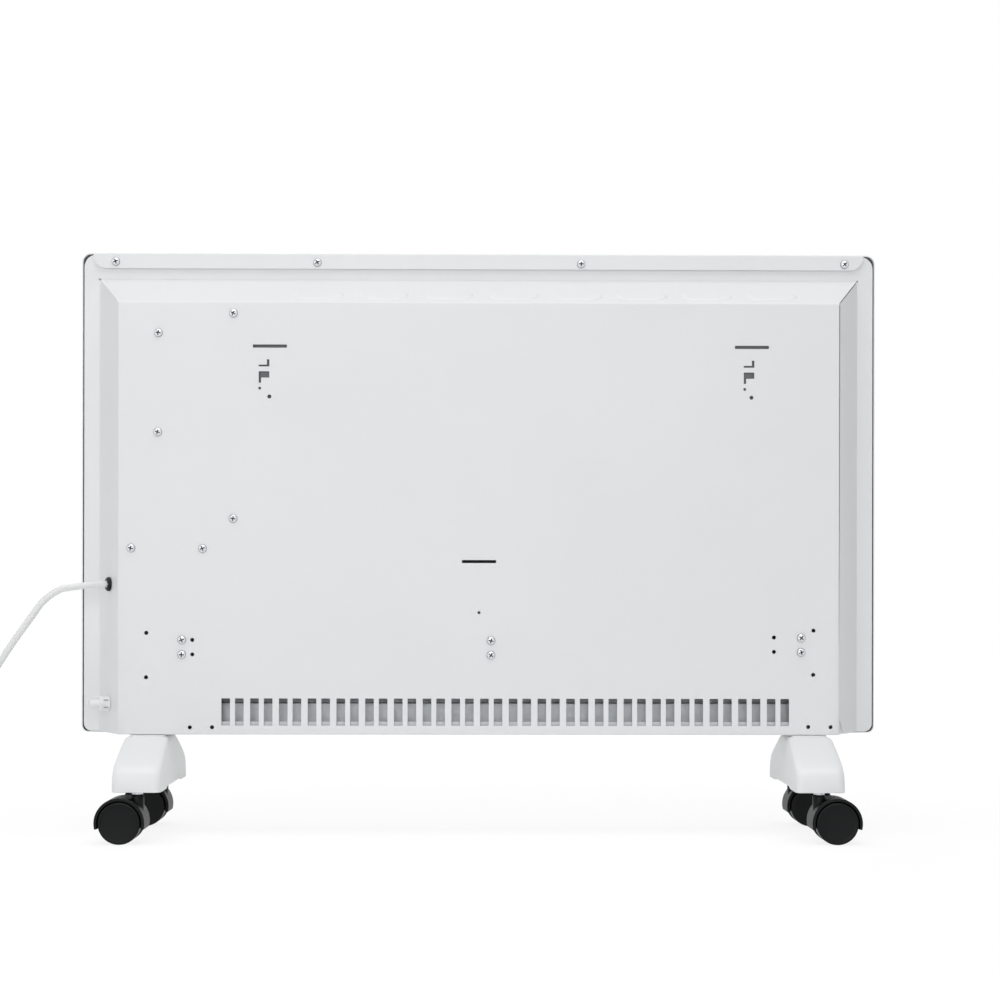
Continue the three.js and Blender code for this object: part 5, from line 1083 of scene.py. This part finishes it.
ROOM_LIGHT, FLOOR_GLOW, FLOOR_HALF = 0.34, 1.06, 6000
FADE_FROM, FADE_TO, FADE_SHARE = 0.45, 1.5, 0.8    # metres, and the glow's share near the heater
AIM = Vector((0, 0, 0.3))
LAMPS = (    # name, place in metres, width, height and watts
    ("rear_softbox", (0.5, 3.4, 0.95), 2.6, 1.6, 26), ("top_softbox", (0, 0.6, 2.8), 2.6, 2.0, 33),
    ("front_softbox", (0.7, -3.2, 1.8), 2.4, 1.8, 22), ("left_softbox", (3.0, 0.6, 1.3), 1.2, 1.4, 6))


def lamp(name, place, wide, high, watts):
    """A rectangular softbox that faces the heater."""
    data = bpy.data.lights.new(name, "AREA")
    data.shape, data.size, data.size_y, data.energy = "RECTANGLE", wide, high, watts
    made = bpy.data.objects.new(name, data)
    made.location = place
    made.rotation_mode = "QUATERNION"
    made.rotation_quaternion = (AIM - Vector(place)).to_track_quat("-Z", "Y")
    bpy.context.scene.collection.objects.link(made)


def seen_directly(tree):
    """A node that is 1 for rays from the camera, a gloss or a clear surface, and 0 for light."""
    path = add(tree, "ShaderNodeLightPath")
    seen = add(tree, "ShaderNodeMath", {"operation": "MAXIMUM"}, i0=(path, "Is Camera Ray"),
               i1=(path, "Is Glossy Ray"))
    return add(tree, "ShaderNodeMath", {"operation": "MAXIMUM"}, i0=(seen, 0),
               i1=(path, "Is Transmission Ray"))


def set_stage():
    """A pale floor that fades to white, broad softboxes and an even white room."""
    world = bpy.data.worlds.new("white_room")
    world.use_nodes = True
    tree = world.node_tree
    tree.nodes.clear()
    level = add(tree, "ShaderNodeMapRange", Value=(seen_directly(tree), 0), To_Min=ROOM_LIGHT)
    light = add(tree, "ShaderNodeBackground", Color=linear("ffffff"), Strength=(level, 0))
    add(tree, "ShaderNodeOutputWorld", Surface=(light, 0))
    bpy.context.scene.world = world

    corners = [(x * FLOOR_HALF, y * FLOOR_HALF, 0) for x, y in ((-1, -1), (1, -1), (1, 1), (-1, 1))]
    floor = as_object("studio_floor", (corners, [(0, 1, 2, 3)]))
    material, tree, _ = finish_of("pale_studio_floor")
    spot = add(tree, "ShaderNodeTexCoord")
    far = add(tree, "ShaderNodeVectorMath", {"operation": "LENGTH"}, i0=(spot, "Object"))
    fade = add(tree, "ShaderNodeMapRange", Value=(far, "Value"), From_Min=FADE_FROM, From_Max=FADE_TO,
               To_Min=FADE_SHARE)
    share = add(tree, "ShaderNodeMath", {"operation": "MULTIPLY"}, i0=(seen_directly(tree), 0), i1=(fade, 0))
    matt = add(tree, "ShaderNodeBsdfDiffuse", Color=linear("f7f7f7"))
    white = add(tree, "ShaderNodeEmission", Color=linear("ffffff"), Strength=FLOOR_GLOW)
    both = add(tree, "ShaderNodeMixShader", Fac=(share, 0), i1=(matt, 0), i2=(white, 0))
    add(tree, "ShaderNodeOutputMaterial", Surface=(both, 0))
    floor.data.materials.append(material)

    for one in LAMPS:
        lamp(*one)
    bpy.context.scene.view_settings.view_transform = "Standard"


# ------------------------------------------------------------------ assembly

set_camera()
finishes = make_materials()
make_lead(finishes)
set_stage()
make_casing(finishes)
make_panel(finishes)
make_channel(finishes)
make_pockets(finishes)
make_screws(finishes)
make_bushing(finishes)
make_sensor(finishes)
make_foot(1, "foot_right_moulding", finishes)
make_foot(-1, "foot_left_moulding", finishes)
for castor in CASTORS:
    make_castor(castor, finishes)
make_buttons(finishes)
make_fascia(finishes)
dress_nodes(finishes)
